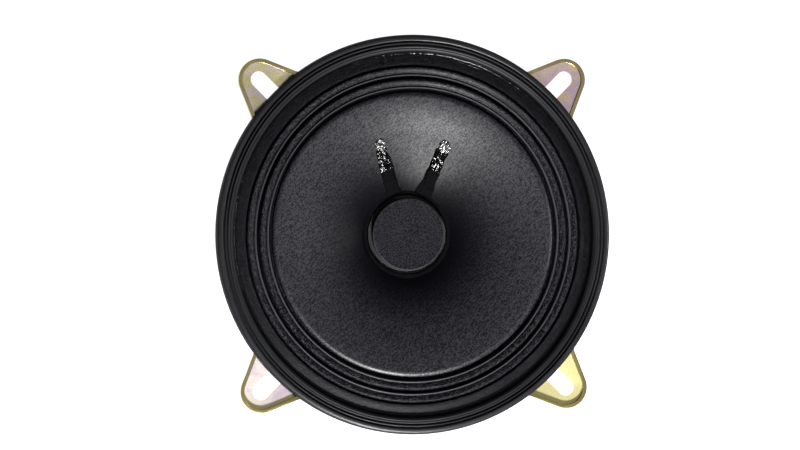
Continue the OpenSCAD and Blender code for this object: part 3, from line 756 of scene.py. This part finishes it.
# %% Surround
ROLL_PITCH = 4.05
ROLL_HEIGHT = 2.2
VALLEY = (55.1, -0.1)
ROLL_SHAPE = [
    (0.04, 0.4), (0.09, 0.72), (0.15, 0.93), (0.22, 1), (0.33, 0.96), (0.46, 0.85),
    (0.6, 0.68), (0.67, 0.66), (0.75, 0.92), (0.805, 0.7), (0.88, 0.3),
]
SURROUND_RIM = [(62.35, 1.4), (61, 1.4), (59.4, 1.4), (57.5, 1.76), (55.75, 2.09), (55.35, 1.7)]
SURROUND_SEAT = [(46.55, 0.15), (46.1, 0.5), (45.1, 0.38), (43.6, 0.1)]
SURROUND_THICK = 0.4
ROLLS = 2


def surround_outline():
    points = list(SURROUND_RIM)
    for roll in range(ROLLS):
        valley_r = VALLEY[0] - roll * ROLL_PITCH
        points.append((valley_r, VALLEY[1]))
        for inwards, height in ROLL_SHAPE:
            points.append((valley_r - inwards * ROLL_PITCH, VALLEY[1] + height * ROLL_HEIGHT))
    return points + [(VALLEY[0] - ROLLS * ROLL_PITCH, VALLEY[1])] + SURROUND_SEAT


surround = turned("surround_cloth", rounded(surround_outline(), steps=3))
thicken(surround, SURROUND_THICK)
print("surround outline has", len(surround_outline()), "points")

# %% [markdown]
# The surround is glued to the basket at its rim and to the cone at its edge, so it belongs to
# both. Its points follow the basket outside the first valley and the cone at the inner edge.
# The blend runs with the radius, so its weights are written from each point's own radius.

# %% Let the surround flex
SURROUND_STILL = 58.5
SURROUND_MOVES = 46.8


def flex(piece, still_r, moving_r):
    """Blends a ring across the cone's joint, by the radius of each point."""
    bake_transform(piece, "chassis", "cone_assembly", start=(still_r * MM, 0, 0),
             end=(moving_r * MM, 0, 0))
    weights = piece.data.attributes["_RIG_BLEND"].data
    for vertex, weight in zip(piece.data.vertices, weights):
        share = min(max((still_r - off_axis(vertex) / MM) / (still_r - moving_r), 0), 1)
        weight.value = share * share * (3 - 2 * share)


flex(surround, SURROUND_STILL, SURROUND_MOVES)
finish_piece(surround, surround_finish, None, "surround")

# %% [markdown]
# The bead of adhesive between the gasket and the surround was laid by hand, so it is lumpy and
# glossy and catches the light in short broken glints. A turned bead with many steps is pushed
# about by noise. The same black makes the ring round the dust cap and the cement strips, each
# with its own wrinkles. Thin cement has dried dull, so it has hardly any gloss.

# %% Black adhesive finish


def black_adhesive(name, wrinkle, depth, smooth, gloss=0.25):
    """Black glue whose wrinkles have the given width and depth in millimetres."""
    made = Finish(name, Specular_IOR_Level=gloss)
    wrinkles = made.noise(wrinkle, 1, 0.4)
    dusty = made.noise(2.2, 4, 0.6).ramp(0.45, 0.75)
    made.set("Base Color", made.mix(dusty, (0.001, 0.001, 0.001), (0.002, 0.002, 0.003)))
    made.set("Roughness", dusty * 0.1 + smooth)
    made.bump(wrinkles * depth, 0.8)
    return made


bead_finish = black_adhesive("bead_adhesive", 1.0, 0.08, 0.17, gloss=0.14)
ring_finish = black_adhesive("ring_adhesive", 2.0, 0.3, 0.12, gloss=0.1)
cement_finish = black_adhesive("brushed_cement", 1.8, 1.3, 0.06)
thin_finish = black_adhesive("thin_cement", 0.5, 0.05, 0.7, gloss=0.03)
print(bead_finish.material.name, ring_finish.material.name, cement_finish.material.name)

# %% Adhesive bead
BEAD_STEPS = 1440
BEAD = [
    (59.65, 1.3), (59.63, 2.5), (59.55, 2.4), (59.4, 2.1), (59.2, 1.86), (59.0, 1.72),
    (58.8, 1.65), (58.55, 1.63), (58.3, 1.63), (58.15, 1.55), (58.3, 1.3),
]
bead = turned("adhesive_bead", BEAD, steps=BEAD_STEPS, closed=True)
lump(bead, 0.9, 0.07, seed=1)
lump(bead, 3.5, 0.12, seed=2)
finish_piece(bead, bead_finish, "chassis", "gasket_adhesive")

# %% [markdown]
# The cone is pressed from paper pulp dyed black. Close up it shows short fibres in all
# directions, as small lighter and darker spots, and the edge is a little fuzzy. A thin lacquer
# gives it a sheen, but fades out towards the dust cap. So the sheen is a coat whose weight grows
# with the radius, over paper that hardly shines. Towards the cap the paper is also painted nearly
# a flat black: painted shade of the steep, deep neck of the cone.

# %% Paper finish
LACQUER_AND_SHADE_FROM = (14, 39)
FUZZ_FROM = (45.2, 46.2)


def pulp_paper():
    made = Finish("pulp_paper", Specular_IOR_Level=0.03, Coat_Roughness=0.4)
    fibre = made.noise(0.5, 3, 0.65)
    cross = made.noise(0.7, 2, 0.5, made.place((0.35, 1.8, 1), (0, 0, 0.6)))
    radius = made.radius()
    lacquer_and_shade = radius.ramp(*LACQUER_AND_SHADE_FROM)
    light = (fibre * 0.7 + cross * 0.3).ramp(0.43, 0.57)
    paper = made.mix(light, (0.001, 0.001, 0.0015), (0.018, 0.018, 0.023))
    # Near the cap the colour is painted almost black: painted shade of the deep neck.
    paper = made.mix(lacquer_and_shade, (0.0015, 0.0015, 0.0025), paper)
    fuzz = fibre.ramp(0.5, 0.62) * radius.ramp(*FUZZ_FROM)
    made.set("Base Color", made.mix(fuzz, paper, (0.02, 0.02, 0.022)))
    made.set("Roughness", fibre * 0.35 + 0.4)
    made.set("Coat Weight", (light * 0.4 + 0.42) * (lacquer_and_shade * 0.96 + 0.04))
    made.bump(fibre * 0.05 + cross * 0.03, 0.8)
    return made


paper_finish = pulp_paper()
print(paper_finish.material.name)

# %% [markdown]
# The cone is one sheet, so only its front is drawn, with more points near the neck, where it is
# steepest. Solidify makes the paper half a millimetre thick, and fine noise takes away the
# perfect roundness that no pressed paper has.

# %% Cone
CONE_THICK = 0.5
CONE_RINGS = 44


def cone_outline():
    reach = CONE_EDGE[0] - CONE_NECK[0]
    points = []
    for ring in range(CONE_RINGS + 1):
        radius = CONE_NECK[0] + reach * (ring / CONE_RINGS) ** 2
        points.append((radius, cone_height(radius) + cone_flare(radius)))
    return points[::-1]


cone = turned("paper_cone", cone_outline())
thicken(cone, CONE_THICK)
lump(cone, 1.0, 0.03, seed=3)
finish_piece(cone, paper_finish, "cone_assembly", "cone")

# %% [markdown]
# The dust cap is a small felt cup with a nearly flat face, glued on by a narrow flange. Felt has
# finer spots than the paper and almost no gloss. Its pressed shoulder is painted lighter all round,
# a painted highlight of the rim.
# It is turned from the flange inwards, drawn together at the axis, and given its thickness.
# The ring of glue round it is a bead like the first one, wide and low.

# %% Felt finish
SHOULDER_HIGHLIGHT_FROM = (11.4, 11.7)


def cap_felt():
    made = Finish("cap_felt", Specular_IOR_Level=0.06)
    fibre = made.noise(0.42, 3, 0.65, made.place((0.8, 1.2, 1), (0, 0, 0.4)))
    clouds = made.noise(5, 3)
    light = fibre.ramp(0.42, 0.58)
    felt = made.mix(light, (0.000, 0.000, 0.001), (0.018, 0.018, 0.021))
    shoulder_highlight = made.radius().ramp(*SHOULDER_HIGHLIGHT_FROM)
    felt = made.mix(clouds * 0.4, felt, (0.012, 0.012, 0.014))
    # The shoulder ring is painted lighter: a painted highlight on the cap's rim.
    made.set("Base Color", made.mix(shoulder_highlight * fibre, felt, (0.050, 0.050, 0.053)))
    made.set("Roughness", fibre * 0.2 + 0.55)
    made.bump(fibre * 0.05, 0.8)
    return made


felt_finish = cap_felt()
print(felt_finish.material.name)

# %% Dust cap
CAP_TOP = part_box("dust_cap")[1].z / MM
CAP_R = 11.9
CAP_THICK = 0.5
CAP_EDGE = 0.5
CAP_EDGE_STEPS = 6
CAP_DISH = 0.4
CAP_FLANGE = [(13.0, 0.48), (12.6, 0.5), (12.2, 0.62)]
CAP_RINGS = (0.92, 0.85, 0.75, 0.6, 0.45, 0.3, 0.15, 0.04)


def cap_outline():
    foot = cone_height(CAP_R) + 0.6
    points = [(radius, cone_height(radius) + gap) for radius, gap in CAP_FLANGE]
    points += [(CAP_R + 0.05, foot + 0.5), (CAP_R, foot + 1.2), (CAP_R, CAP_TOP - CAP_EDGE)]
    for step in range(1, CAP_EDGE_STEPS + 1):
        turn = step / CAP_EDGE_STEPS * math.pi / 2
        inwards, down = CAP_EDGE * (1 - math.cos(turn)), CAP_EDGE * (1 - math.sin(turn))
        points.append((CAP_R - inwards, CAP_TOP - down))
    for share in CAP_RINGS:
        points.append((CAP_R * share, CAP_TOP - CAP_DISH * (1 - share ** 2)))
    return points


dust_cap = close_pole(turned("felt_dust_cap", cap_outline(), steps=COARSE))
thicken(dust_cap, CAP_THICK)
finish_piece(dust_cap, felt_finish, "cone_assembly", "dust_cap")

# %% Glue round the dust cap
GLUE_STEPS = 512
GLUE_FROM = 12.95
GLUE_WIDTH = 1.45
GLUE_RING = [
    (12.75, -0.1), (GLUE_FROM, 0.75), (GLUE_FROM + 0.2 * GLUE_WIDTH, 0.72),
    (GLUE_FROM + 0.45 * GLUE_WIDTH, 0.5), (GLUE_FROM + 0.75 * GLUE_WIDTH, 0.24),
    (GLUE_FROM + GLUE_WIDTH, 0.02), (14.2, -0.15),
]
glue_outline = [(radius, cone_height(radius) + gap) for radius, gap in GLUE_RING]
glue_ring = turned("dust_cap_bead", glue_outline, steps=GLUE_STEPS, closed=True)
lump(glue_ring, 3.0, 0.2, seed=4)
finish_piece(glue_ring, ring_finish, "cone_assembly", "dust_cap_glue")

# %% [markdown]
# The ends of the voice coil run up the front of the cone under two strips of brushed-on cement.
# Each strip is a grid that is laid over its lead: it is cut to length, drawn in at its outer
# end, and every point is set at its height over the paper. Solidify closes it below, inside the
# paper. Near the cap the cement is thin and dull. Further out it is thick, with a glossy
# wrinkled skin whose small highlights show in the picture, so a strip has two materials.

# %% Cement strips
STRIP_FROM = 13.4
STRIP_TO = 30.5
STRIP_WIDTH = 4.5
STRIP_HEIGHT = 0.85
STRIP_LEAST = 0.15
STRIP_THICK = 0.3
STRIP_GRID = (110, 30)
STRIP_SINK = 0.12
RAGGED = 0.18
SWAY = 0.5
LEAD_COVER = 0.62
THIN_UP_TO = 23
LEAD_AT = {side: TERMINAL_LEG + angle for side, angle in EYELET_ANGLES.items()}


def strip_point(along, across, seed):
    """The radius, side and height of a point of a strip, from its two shares."""
    radius = STRIP_FROM + (STRIP_TO - STRIP_FROM) * along
    ragged = noise.noise(Vector((along * 9, seed, 0))) * RAGGED
    swell = 0.96 + 0.08 * math.cos(along * 9 + seed) + 0.3 * (1 - along) ** 2
    taper = min(1, (1 - along) * 7 + 0.45)
    side = across * STRIP_WIDTH / 2 * (swell + ragged) * taper
    side += noise.noise(Vector((along * 3, 5 + seed, 0))) * SWAY
    dome = max(1 - abs(across) ** 4, 0) ** 0.7
    ends = min(1, (1 - along) * 12)
    bumps = noise.noise(Vector((radius * 0.75, side * 0.75, seed)))
    small = noise.noise(Vector((radius * 1.9, side * 1.9, seed + 9)))
    height = STRIP_HEIGHT * dome * ends * (0.65 + 0.3 * bumps + 0.3 * small)
    cover = LEAD_COVER * max(1 - (across / 0.6) ** 4, 0)
    return radius, side, max(height, STRIP_LEAST * dome, cover * ends)


def cement_strip(name, angle, seed):
    columns, rows = STRIP_GRID
    bpy.ops.mesh.primitive_grid_add(x_subdivisions=columns, y_subdivisions=rows, size=2)
    strip = bpy.context.object
    strip.name = name
    for vertex in strip.data.vertices:
        along = vertex.co.x / 2 + 0.5
        radius, side, height = strip_point(along, vertex.co.y, seed)
        away = math.hypot(radius, side)
        x = radius * math.cos(angle) - side * math.sin(angle)
        y = radius * math.sin(angle) + side * math.cos(angle)
        sink = STRIP_SINK if abs(vertex.co.y) > 0.99 else 0
        vertex.co = Vector((x, y, cone_height(away) + height - sink)) * MM
    strip.data.update()
    thicken(strip, STRIP_THICK)
    pick(strip)
    bpy.ops.object.shade_smooth()
    strip.select_set(False)
    return strip


for seed, side in enumerate(LEAD_AT):
    strip = cement_strip("cement_strip_" + side, LEAD_AT[side], seed * 3.7 + 1)
    finish_piece(strip, cement_finish, "cone_assembly", "lead_cement_" + side)
    strip.data.materials.append(thin_finish.material)
    for face in strip.data.polygons:
        if face.center.length < THIN_UP_TO * MM:
            face.material_index = 1

# %% [markdown]
# Where each lead passes through its eyelet it is soldered by hand. The solder is bright, with
# black flux burnt into its hollows, so it shows as a white speckled blob, a little further out
# than the eyelet. It starts as a round ball, pressed flat on the paper, and is then pitted by
# noise at two sizes.

# %% Solder finish
FLUX_FROM = (0.46, 0.52)


def fluxed_solder():
    made = Finish("fluxed_solder", Metallic=1.0)
    pits = made.noise(0.8, 3, 0.65)
    flux = pits.ramp(*FLUX_FROM)
    made.set("Base Color", made.mix(flux, (0.86, 0.86, 0.88), (0.012, 0.010, 0.010)))
    made.set("Metallic", 1 - flux)
    made.set("Roughness", pits * 0.3 + 0.18)
    made.bump(pits * -1.1 + made.noise(0.3, 2) * 0.2, 0.9)
    return made


solder_finish = fluxed_solder()
print(solder_finish.material.name)

# %% Solder joints
SOLDER_R = 1.85
SOLDER_H = 0.8
SOLDER_AT = EYELET_AT + 0.3
SOLDER_UP = 0.35


def blob(name, place, normal, radius, height, seed):
    bpy.ops.mesh.primitive_ico_sphere_add(subdivisions=5, radius=1)
    piece = bpy.context.object
    piece.name = name
    start_edit(piece)
    bpy.ops.mesh.select_all(action="SELECT")
    bpy.ops.transform.resize(value=(radius * MM, radius * MM, height * MM))
    bpy.ops.object.mode_set(mode="OBJECT")
    lump(piece, 1.2, 0.7, seed)
    lump(piece, 0.6, 0.35, seed + 1)
    turn = normal.to_track_quat("Z", "Y").to_matrix().to_4x4()
    piece.data.transform(Matrix.Translation(place) @ turn)
    bpy.ops.object.shade_smooth()
    piece.select_set(False)
    return piece


for seed, side in enumerate(LEAD_AT):
    angle = LEAD_AT[side]
    slope = cone_slope(EYELET_AT)
    outwards = Vector((math.cos(angle), math.sin(angle), 0))
    normal = OUT * math.cos(slope) - outwards * math.sin(slope)
    place = (outwards * SOLDER_AT + OUT * (cone_height(SOLDER_AT) + SOLDER_UP)) * MM
    joint = blob("solder_blob_" + side, place, normal, SOLDER_R, SOLDER_H, seed * 4 + 11)
    finish_piece(joint, solder_finish, "cone_assembly", "solder_joint_" + side)

# %% [markdown]
# The spider is open cloth, dipped in amber resin and pressed hot into even waves. It keeps the
# coil centred and shows through the windows of the basket. It is turned like the surround, and
# flexes with the cone in the same way. Its weave is coarse and shows as a regular grid.

# %% Resin cloth finish


def resin_cloth():
    made = Finish("resin_cloth", Specular_IOR_Level=0.4)
    x, y, z = made.axes()
    weave = (x * 9).sine() * (y * 9).sine()
    patches = made.noise(4, 4, 0.6)
    threads = weave.size().ramp(0.1, 0.7)
    cloth = made.mix(threads, (0.36, 0.20, 0.07), (0.62, 0.42, 0.19))
    made.set("Base Color", made.mix(patches * 0.45, cloth, (0.42, 0.23, 0.08)))
    made.set("Roughness", patches * 0.25 + 0.5)
    made.bump(threads * 0.12, 0.8)
    return made


spider_finish = resin_cloth()
print(spider_finish.material.name)

# %% Spider
SPIDER_TOP = -17.5
SPIDER_OUT = 36.0
SPIDER_WAVES = (30.7, 12.7)
SPIDER_COUNT = 5
SPIDER_AMPLITUDE = 0.9
SPIDER_WAVE_STEPS = 14
SPIDER_THICK = 0.5
SPIDER_STILL = 31.5
SPIDER_MOVES = 12.9


def spider_outline():
    points = [(radius, SPIDER_TOP) for radius in (SPIDER_OUT, 34, 31.6)]
    steps = SPIDER_COUNT * SPIDER_WAVE_STEPS
    for step in range(steps + 1):
        share = step / steps
        radius = SPIDER_WAVES[0] + (SPIDER_WAVES[1] - SPIDER_WAVES[0]) * share
        wave = math.sin(math.tau * SPIDER_COUNT * share)
        points.append((radius, SPIDER_TOP + SPIDER_AMPLITUDE * wave))
    return points + [(radius, SPIDER_TOP) for radius in (11.6, 10.55)]


spider = turned("spider_cloth", spider_outline(), steps=COARSE)
thicken(spider, SPIDER_THICK)
flex(spider, SPIDER_STILL, SPIDER_MOVES)
finish_piece(spider, spider_finish, None, "spider")

# %% [markdown]
# The basket is pressed from one sheet of steel and plated with zinc, then passivated. That bath
# leaves a thin film whose colour depends on how the sheet drained. The picture shows one ear
# gold, one lilac and brown, one olive and one nearly white with pink, so each ear gets its own
# tint by its place, over patches of two noises. Towards the main lamp's side the film is also
# painted lighter and made less metallic, partly film and partly painted light. The raised lip is
# olive, partly film and partly painted shade of its curved faces. On the two lower ears the plate
# beside the lip, where the lip's shade falls, is painted dark olive: painted shade. The back is
# painted darker and duller, a painted shade against the glow of the floor. Fine spangle covers it
# all.

# %% Tints of the four ears
EAR_FROM = (45, 56)
GOLD_FROM = (-45, -58)
TIP_AT = (49.2, 50.4)
TIP_EDGE = (5.45, 5.95)
TIP_FROM = (71, 73)
SIDE_NORMAL = (0.932, 0.3635)
SIDE_EDGE = (33.0, 33.5)
LOWER_HALF = (20, 30)


def ear_tints(made, colour, film, smear):
    """Gold on the ear at -Y, olive on the one at +Y, lilac and brown on the one at +X."""
    x, y, z = made.axes()
    gold = made.mix(smear, (0.84, 0.72, 0.26), (0.92, 0.86, 0.46))
    colour = made.mix((y + film * 8).ramp(*GOLD_FROM), colour, gold)
    green = (y - film * 8).ramp(*EAR_FROM) * smear.ramp(0.35, 0.6) * 0.75
    colour = made.mix(green, colour, (0.66, 0.60, 0.24))
    lilac = made.mix(smear.ramp(0.42, 0.60), (0.66, 0.47, 0.68), (0.80, 0.56, 0.40))
    return made.mix((x + film * 8).ramp(*EAR_FROM) * 0.7, colour, lilac)


def painted_lip_shade(made):
    """1 on the plate along the lips that look to the picture's bottom, where their shade falls, and 0
    elsewhere.
    """
    x, y, z = made.axes()
    down = (x + y) * -DIAGONAL
    aside = (x - y).size() * DIAGONAL
    from_tip = ((down - TIP_AT[0]) ** 2 + (aside - TIP_AT[1]) ** 2) ** 0.5
    tip = from_tip.ramp(*TIP_EDGE) * ((down + aside) * DIAGONAL).ramp(*TIP_FROM)
    side = (down * SIDE_NORMAL[0] - aside * SIDE_NORMAL[1]).ramp(*SIDE_EDGE)
    return (1 - (1 - tip) * (1 - side)) * down.ramp(*LOWER_HALF)


print("ears are tinted beyond", EAR_FROM[0], "mm")

# %% Passivated zinc finish
PLATE_FRONT = (0.6, 0.9)
LIP_FROM = (1.05, 1.3)
BACK_FROM = (-0.5, -4)


def passivated_zinc():
    made = Finish("passivated_zinc", Metallic=1.0)
    film = made.noise(8, 3, 0.5, warp=0.6)
    spangle = made.noise(0.5, 4, 0.7)
    smear = made.noise(3.0, 3, 0.6, made.place((1, 1, 1), (0, 0, 0.4)), 0.4)
    x, y, z = made.axes()
    # Thinner and lighter towards the main lamp's side: partly film colour, partly painted light.
    thick_film_and_shade = ((x + y) * DIAGONAL + film * 30 - 15).ramp(-30, 30)
    warm = (film * 0.6 + smear * 0.4).ramp(0.36, 0.60)
    thick_film = made.mix(warm, (0.74, 0.60, 0.68), (0.84, 0.72, 0.50))
    thin_film_lit = made.mix(warm, (0.76, 0.60, 0.74), (0.92, 0.84, 0.74))
    colour = ear_tints(made, made.mix(thick_film_and_shade, thin_film_lit, thick_film), film, smear)
    colour = made.mix(spangle.ramp(0.50, 0.62) * 0.35, colour, (0.97, 0.94, 0.88))
    # The plate beside the lower lips is painted dark olive: painted shade of the lips.
    lip_shade_band = painted_lip_shade(made) * z.ramp(*PLATE_FRONT)
    colour = made.mix(lip_shade_band * 0.85, colour, (0.42, 0.35, 0.13))
    # The back is painted darker: painted shade against the floor's glow, which burns the plating out.
    dull = made.mix(warm, (0.32, 0.26, 0.26), (0.42, 0.34, 0.14))
    colour = made.mix(z.ramp(*BACK_FROM) * 0.9, colour, dull)
    # The lip is dark olive: partly film colour, partly painted shade of its curved faces.
    lip_tint_and_shade = z.ramp(*LIP_FROM)
    olive = made.mix(film, (0.28, 0.23, 0.08), (0.44, 0.37, 0.14))
    made.set("Base Color", made.mix(lip_tint_and_shade * 0.85, colour, olive))
    made.set("Metallic", 1 - (1 - thick_film_and_shade) * (1 - lip_tint_and_shade) * 0.22)
    made.set("Roughness", spangle * 0.12 + 0.18)
    made.bump(spangle * 0.06 + made.noise(0.35, 3) * 0.02, 0.6)
    return made


zinc_finish = passivated_zinc()
print(zinc_finish.material.name)

# %% [markdown]
# The basket's shape comes from the frame. Its mesh is copied, its loose triangles are merged, the
# lines that cross flat faces are taken out, and its edges are rounded by a bevel, because
# pressed sheet has no sharp edge and the lip must catch the light.

# %% Basket
BASKET_ROUNDING = 0.34
BEVEL_STEPS = 3
SHARP_FROM = math.radians(35)


def merged_copy(node, name):
    """A copy of a part of the frame whose loose triangles are joined into one skin."""
    piece = bpy.data.objects.new(name, nodes[node].data.copy())
    bpy.context.collection.objects.link(piece)
    start_edit(piece)
    bpy.ops.mesh.select_all(action="SELECT")
    bpy.ops.mesh.remove_doubles(threshold=0.002 * MM)
    bpy.ops.mesh.dissolve_limited(angle_limit=math.radians(0.6))
    bpy.ops.object.mode_set(mode="OBJECT")
    return piece


def soften(piece, width):
    """Rounds every edge that is sharper than SHARP_FROM."""
    apply(piece, "BEVEL", width=width * MM, segments=BEVEL_STEPS, limit_method="ANGLE",
          angle_limit=SHARP_FROM, harden_normals=False, miter_outer="MITER_ARC")
    pick(piece)
    bpy.ops.object.shade_smooth_by_angle(angle=SHARP_FROM)
    piece.select_set(False)


basket = merged_copy("basket", "pressed_basket")
soften(basket, BASKET_ROUNDING)
finish_piece(basket, zinc_finish, "chassis", "basket")

# %% [markdown]
# The rest of the parts keep the frame's shape and only need their finish. Turned iron plates
# show rings from the lathe under their plating, and ferrite is dull, with grinding marks and
# chips. The coil is enamelled wire, whose turns are a sine of the height, painted dark between
# the turns and light on them as painted shade and highlight. The tinsel of the leads is copper
# that has gone dark in places.

# %% Finishes of the magnet system
WIRE_PITCH = 0.2


def plated_iron():
    made = Finish("plated_iron", Metallic=1.0)
    rings = made.noise(0.16, 2, 0.5, made.polar(1.5, 1))
    film = made.noise(10, 3, warp=0.5)
    stain = made.noise(3, 4, 0.65).ramp(0.5, 0.75)
    colour = made.mix(film, (0.46, 0.41, 0.27), (0.58, 0.54, 0.45))
    made.set("Base Color", made.mix(stain * 0.4, colour, (0.40, 0.33, 0.24)))
    made.set("Roughness", rings * 0.15 + stain * 0.15 + 0.22)
    made.bump(rings * 0.03, 0.5)
    return made


def ferrite():
    made = Finish("sintered_ferrite", Specular_IOR_Level=0.4)
    grain = made.noise(0.3, 4, 0.7)
    dull = made.noise(6, 3)
    chips = made.cells(2.4).ramp(0.12, 0.02)
    colour = made.mix(dull, (0.030, 0.031, 0.034), (0.055, 0.055, 0.058))
    colour = made.mix(chips * 0.5, colour, (0.09, 0.09, 0.095))
    made.set("Base Color", made.mix(grain.ramp(0.55, 0.75) * 0.4, colour, (0.10, 0.10, 0.10)))
    made.set("Roughness", grain * 0.2 + 0.5)
    made.bump(grain * 0.08 - chips * 0.1, 0.7)
    return made


def wound_copper():
    made = Finish("wound_copper", Metallic=0.9, Coat_Weight=0.4)
    x, y, z = made.axes()
    turns = (z * (math.tau / WIRE_PITCH)).sine() * 0.5 + 0.5
    patches = made.noise(2, 3)
    # Dark between the turns and light on them: painted shade and painted highlight of the round wire.
    colour = made.mix(turns, (0.24, 0.08, 0.03), (0.72, 0.32, 0.15))
    made.set("Base Color", made.mix(patches * 0.3, colour, (0.45, 0.16, 0.06)))
    made.set("Roughness", patches * 0.2 + 0.2)
    made.bump(turns * 0.05, 0.8)
    return made


def tinsel():
    made = Finish("tinsel_copper", Metallic=1.0)
    spots = made.noise(0.5, 3)
    colour = made.mix(spots, (0.68, 0.36, 0.20), (0.86, 0.58, 0.38))
    dark = made.noise(3).ramp(0.5, 0.7) * 0.5
    made.set("Base Color", made.mix(dark, colour, (0.34, 0.17, 0.10)))
    made.set("Roughness", spots * 0.25 + 0.22)
    made.bump(made.noise(0.12, 2) * 0.03, 0.5)
    return made


iron_finish = plated_iron()
ferrite_finish = ferrite()
copper_finish = wound_copper()
tinsel_finish = tinsel()
print(iron_finish.material.name, ferrite_finish.material.name, copper_finish.material.name)

# %% [markdown]
# The former is brown kraft paper soaked in resin, and the glue at the neck is clear amber. The
# terminals are tinned brass on a board of brown laminate. Three kinds of bare metal differ only
# in colour and gloss, so one function makes them all, with drifting tone and fine scratches.

# %% Finishes of the former, the neck and the terminals


def kraft_paper():
    made = Finish("kraft_paper", Specular_IOR_Level=0.4)
    fibre = made.noise(0.6, 4, 0.7, made.place((1, 1, 0.3)))
    resin = made.noise(3, 3).ramp(0.4, 0.7)
    colour = made.mix(fibre, (0.40, 0.25, 0.12), (0.58, 0.40, 0.22))
    made.set("Base Color", made.mix(resin * 0.4, colour, (0.30, 0.16, 0.06)))
    made.set("Roughness", 0.75 - resin * 0.35)
    made.bump(fibre * 0.04, 0.6)
    return made


def drifting(name, size, dark, light, rough, relief, **sockets):
    """A glossy skin whose tone, gloss and height drift together."""
    made = Finish(name, **sockets)
    drift = made.noise(size, 3)
    made.set("Base Color", made.mix(drift, dark, light))
    made.set("Roughness", drift * rough[0] + rough[1])
    made.bump(drift * relief[0], relief[1])
    return made


def laminate():
    made = Finish("brown_laminate", Specular_IOR_Level=0.5)
    fibre = made.noise(0.5, 4, 0.7, made.place((0.4, 0.4, 2)))
    dark = made.noise(4, 3)
    colour = made.mix(fibre, (0.13, 0.055, 0.022), (0.24, 0.11, 0.048))
    made.set("Base Color", made.mix(dark * 0.4, colour, (0.10, 0.04, 0.018)))
    made.set("Roughness", fibre * 0.2 + 0.35)
    made.bump(fibre * 0.04, 0.5)
    return made


def plain_metal(name, dark, light, rough):
    made = Finish(name, Metallic=1.0)
    drift = made.noise(1.6, 4, 0.6)
    scratches = made.noise(0.25, 2, 0.5, made.place((4, 0.5, 1), (0, 0, 0.5)))
    made.set("Base Color", made.mix(drift, dark, light))
    made.set("Roughness", drift * 0.2 + scratches * 0.1 + rough)
    made.bump(scratches * 0.03 + drift * 0.04, 0.5)
    return made


kraft_finish = kraft_paper()
amber_finish = drifting("amber_glue", 1.4, (0.10, 0.05, 0.015), (0.26, 0.15, 0.05), (0.3, 0.1),
                        (0.3, 0.7), Specular_IOR_Level=0.5)
laminate_finish = laminate()
lug_finish = plain_metal("tinned_brass", (0.56, 0.54, 0.48), (0.78, 0.76, 0.70), 0.22)
rivet_finish = plain_metal("zinc_rivet", (0.50, 0.48, 0.40), (0.74, 0.72, 0.64), 0.25)
brass_finish = plain_metal("eyelet_brass", (0.58, 0.42, 0.16), (0.80, 0.62, 0.28), 0.22)
paint_finish = drifting("red_paint", 0.6, (0.42, 0.016, 0.012), (0.60, 0.035, 0.022), (0.2, 0.2),
                        (0.15, 0.6), Coat_Weight=0.5)
print(kraft_finish.material.name, amber_finish.material.name, laminate_finish.material.name)

# %% [markdown]
# A part whose shape is right isn't modelled again. Its plain material from the frame is taken
# off, and the finish goes in its place. The mesh itself stays as it came.

# %% Paint the parts that keep their shape
PAINTED = {
    "coil_former": kraft_finish, "coil_collar": kraft_finish, "neck_glue": amber_finish,
    "voice_coil": copper_finish, "front_plate": iron_finish, "back_plate": iron_finish,
    "pole_piece": iron_finish, "magnet": ferrite_finish, "frame_rivets": rivet_finish,
    "board_rivets": rivet_finish, "lug_rivets": rivet_finish, "polarity_dot": paint_finish,
    "terminal_board": laminate_finish,
}
for side in LEAD_AT:
    PAINTED["coil_lead_" + side] = copper_finish
    PAINTED["cone_eyelet_" + side] = brass_finish
    PAINTED["terminal_lug_" + side] = lug_finish
for node, finish in PAINTED.items():
    nodes[node].data.materials.clear()
    nodes[node].data.materials.append(finish.material)
for lead in leads.values():
    lead.data.materials.append(tinsel_finish.material)
print(len(PAINTED), "parts keep their shape and are painted")

# %% [markdown]
# The floor is a matt white sheet with the faintest drift in its tone. Nearly all its brightness
# is light that it gives off. Its own colour is only light grey, because a white floor would
# throw so much of the lamps' light upwards that the bright basket burns out in the side views.

# %% Floor finish


def floor_white():
    made = Finish("studio_white", Emission_Strength=FLOOR_GLOW)
    drift = made.noise(400, 2)
    white = made.mix(drift, (0.86, 0.86, 0.86), (0.90, 0.90, 0.90))
    made.set("Base Color", made.mix(drift, (0.28, 0.28, 0.28), (0.32, 0.32, 0.32)))
    made.set("Emission Color", white)
    made.set("Roughness", drift * 0.1 + 0.8)
    return made


floor.data.materials.append(floor_white().material)
print("floor at", round(cad_box[0].z / MM, 2), "mm")

# %% [markdown]
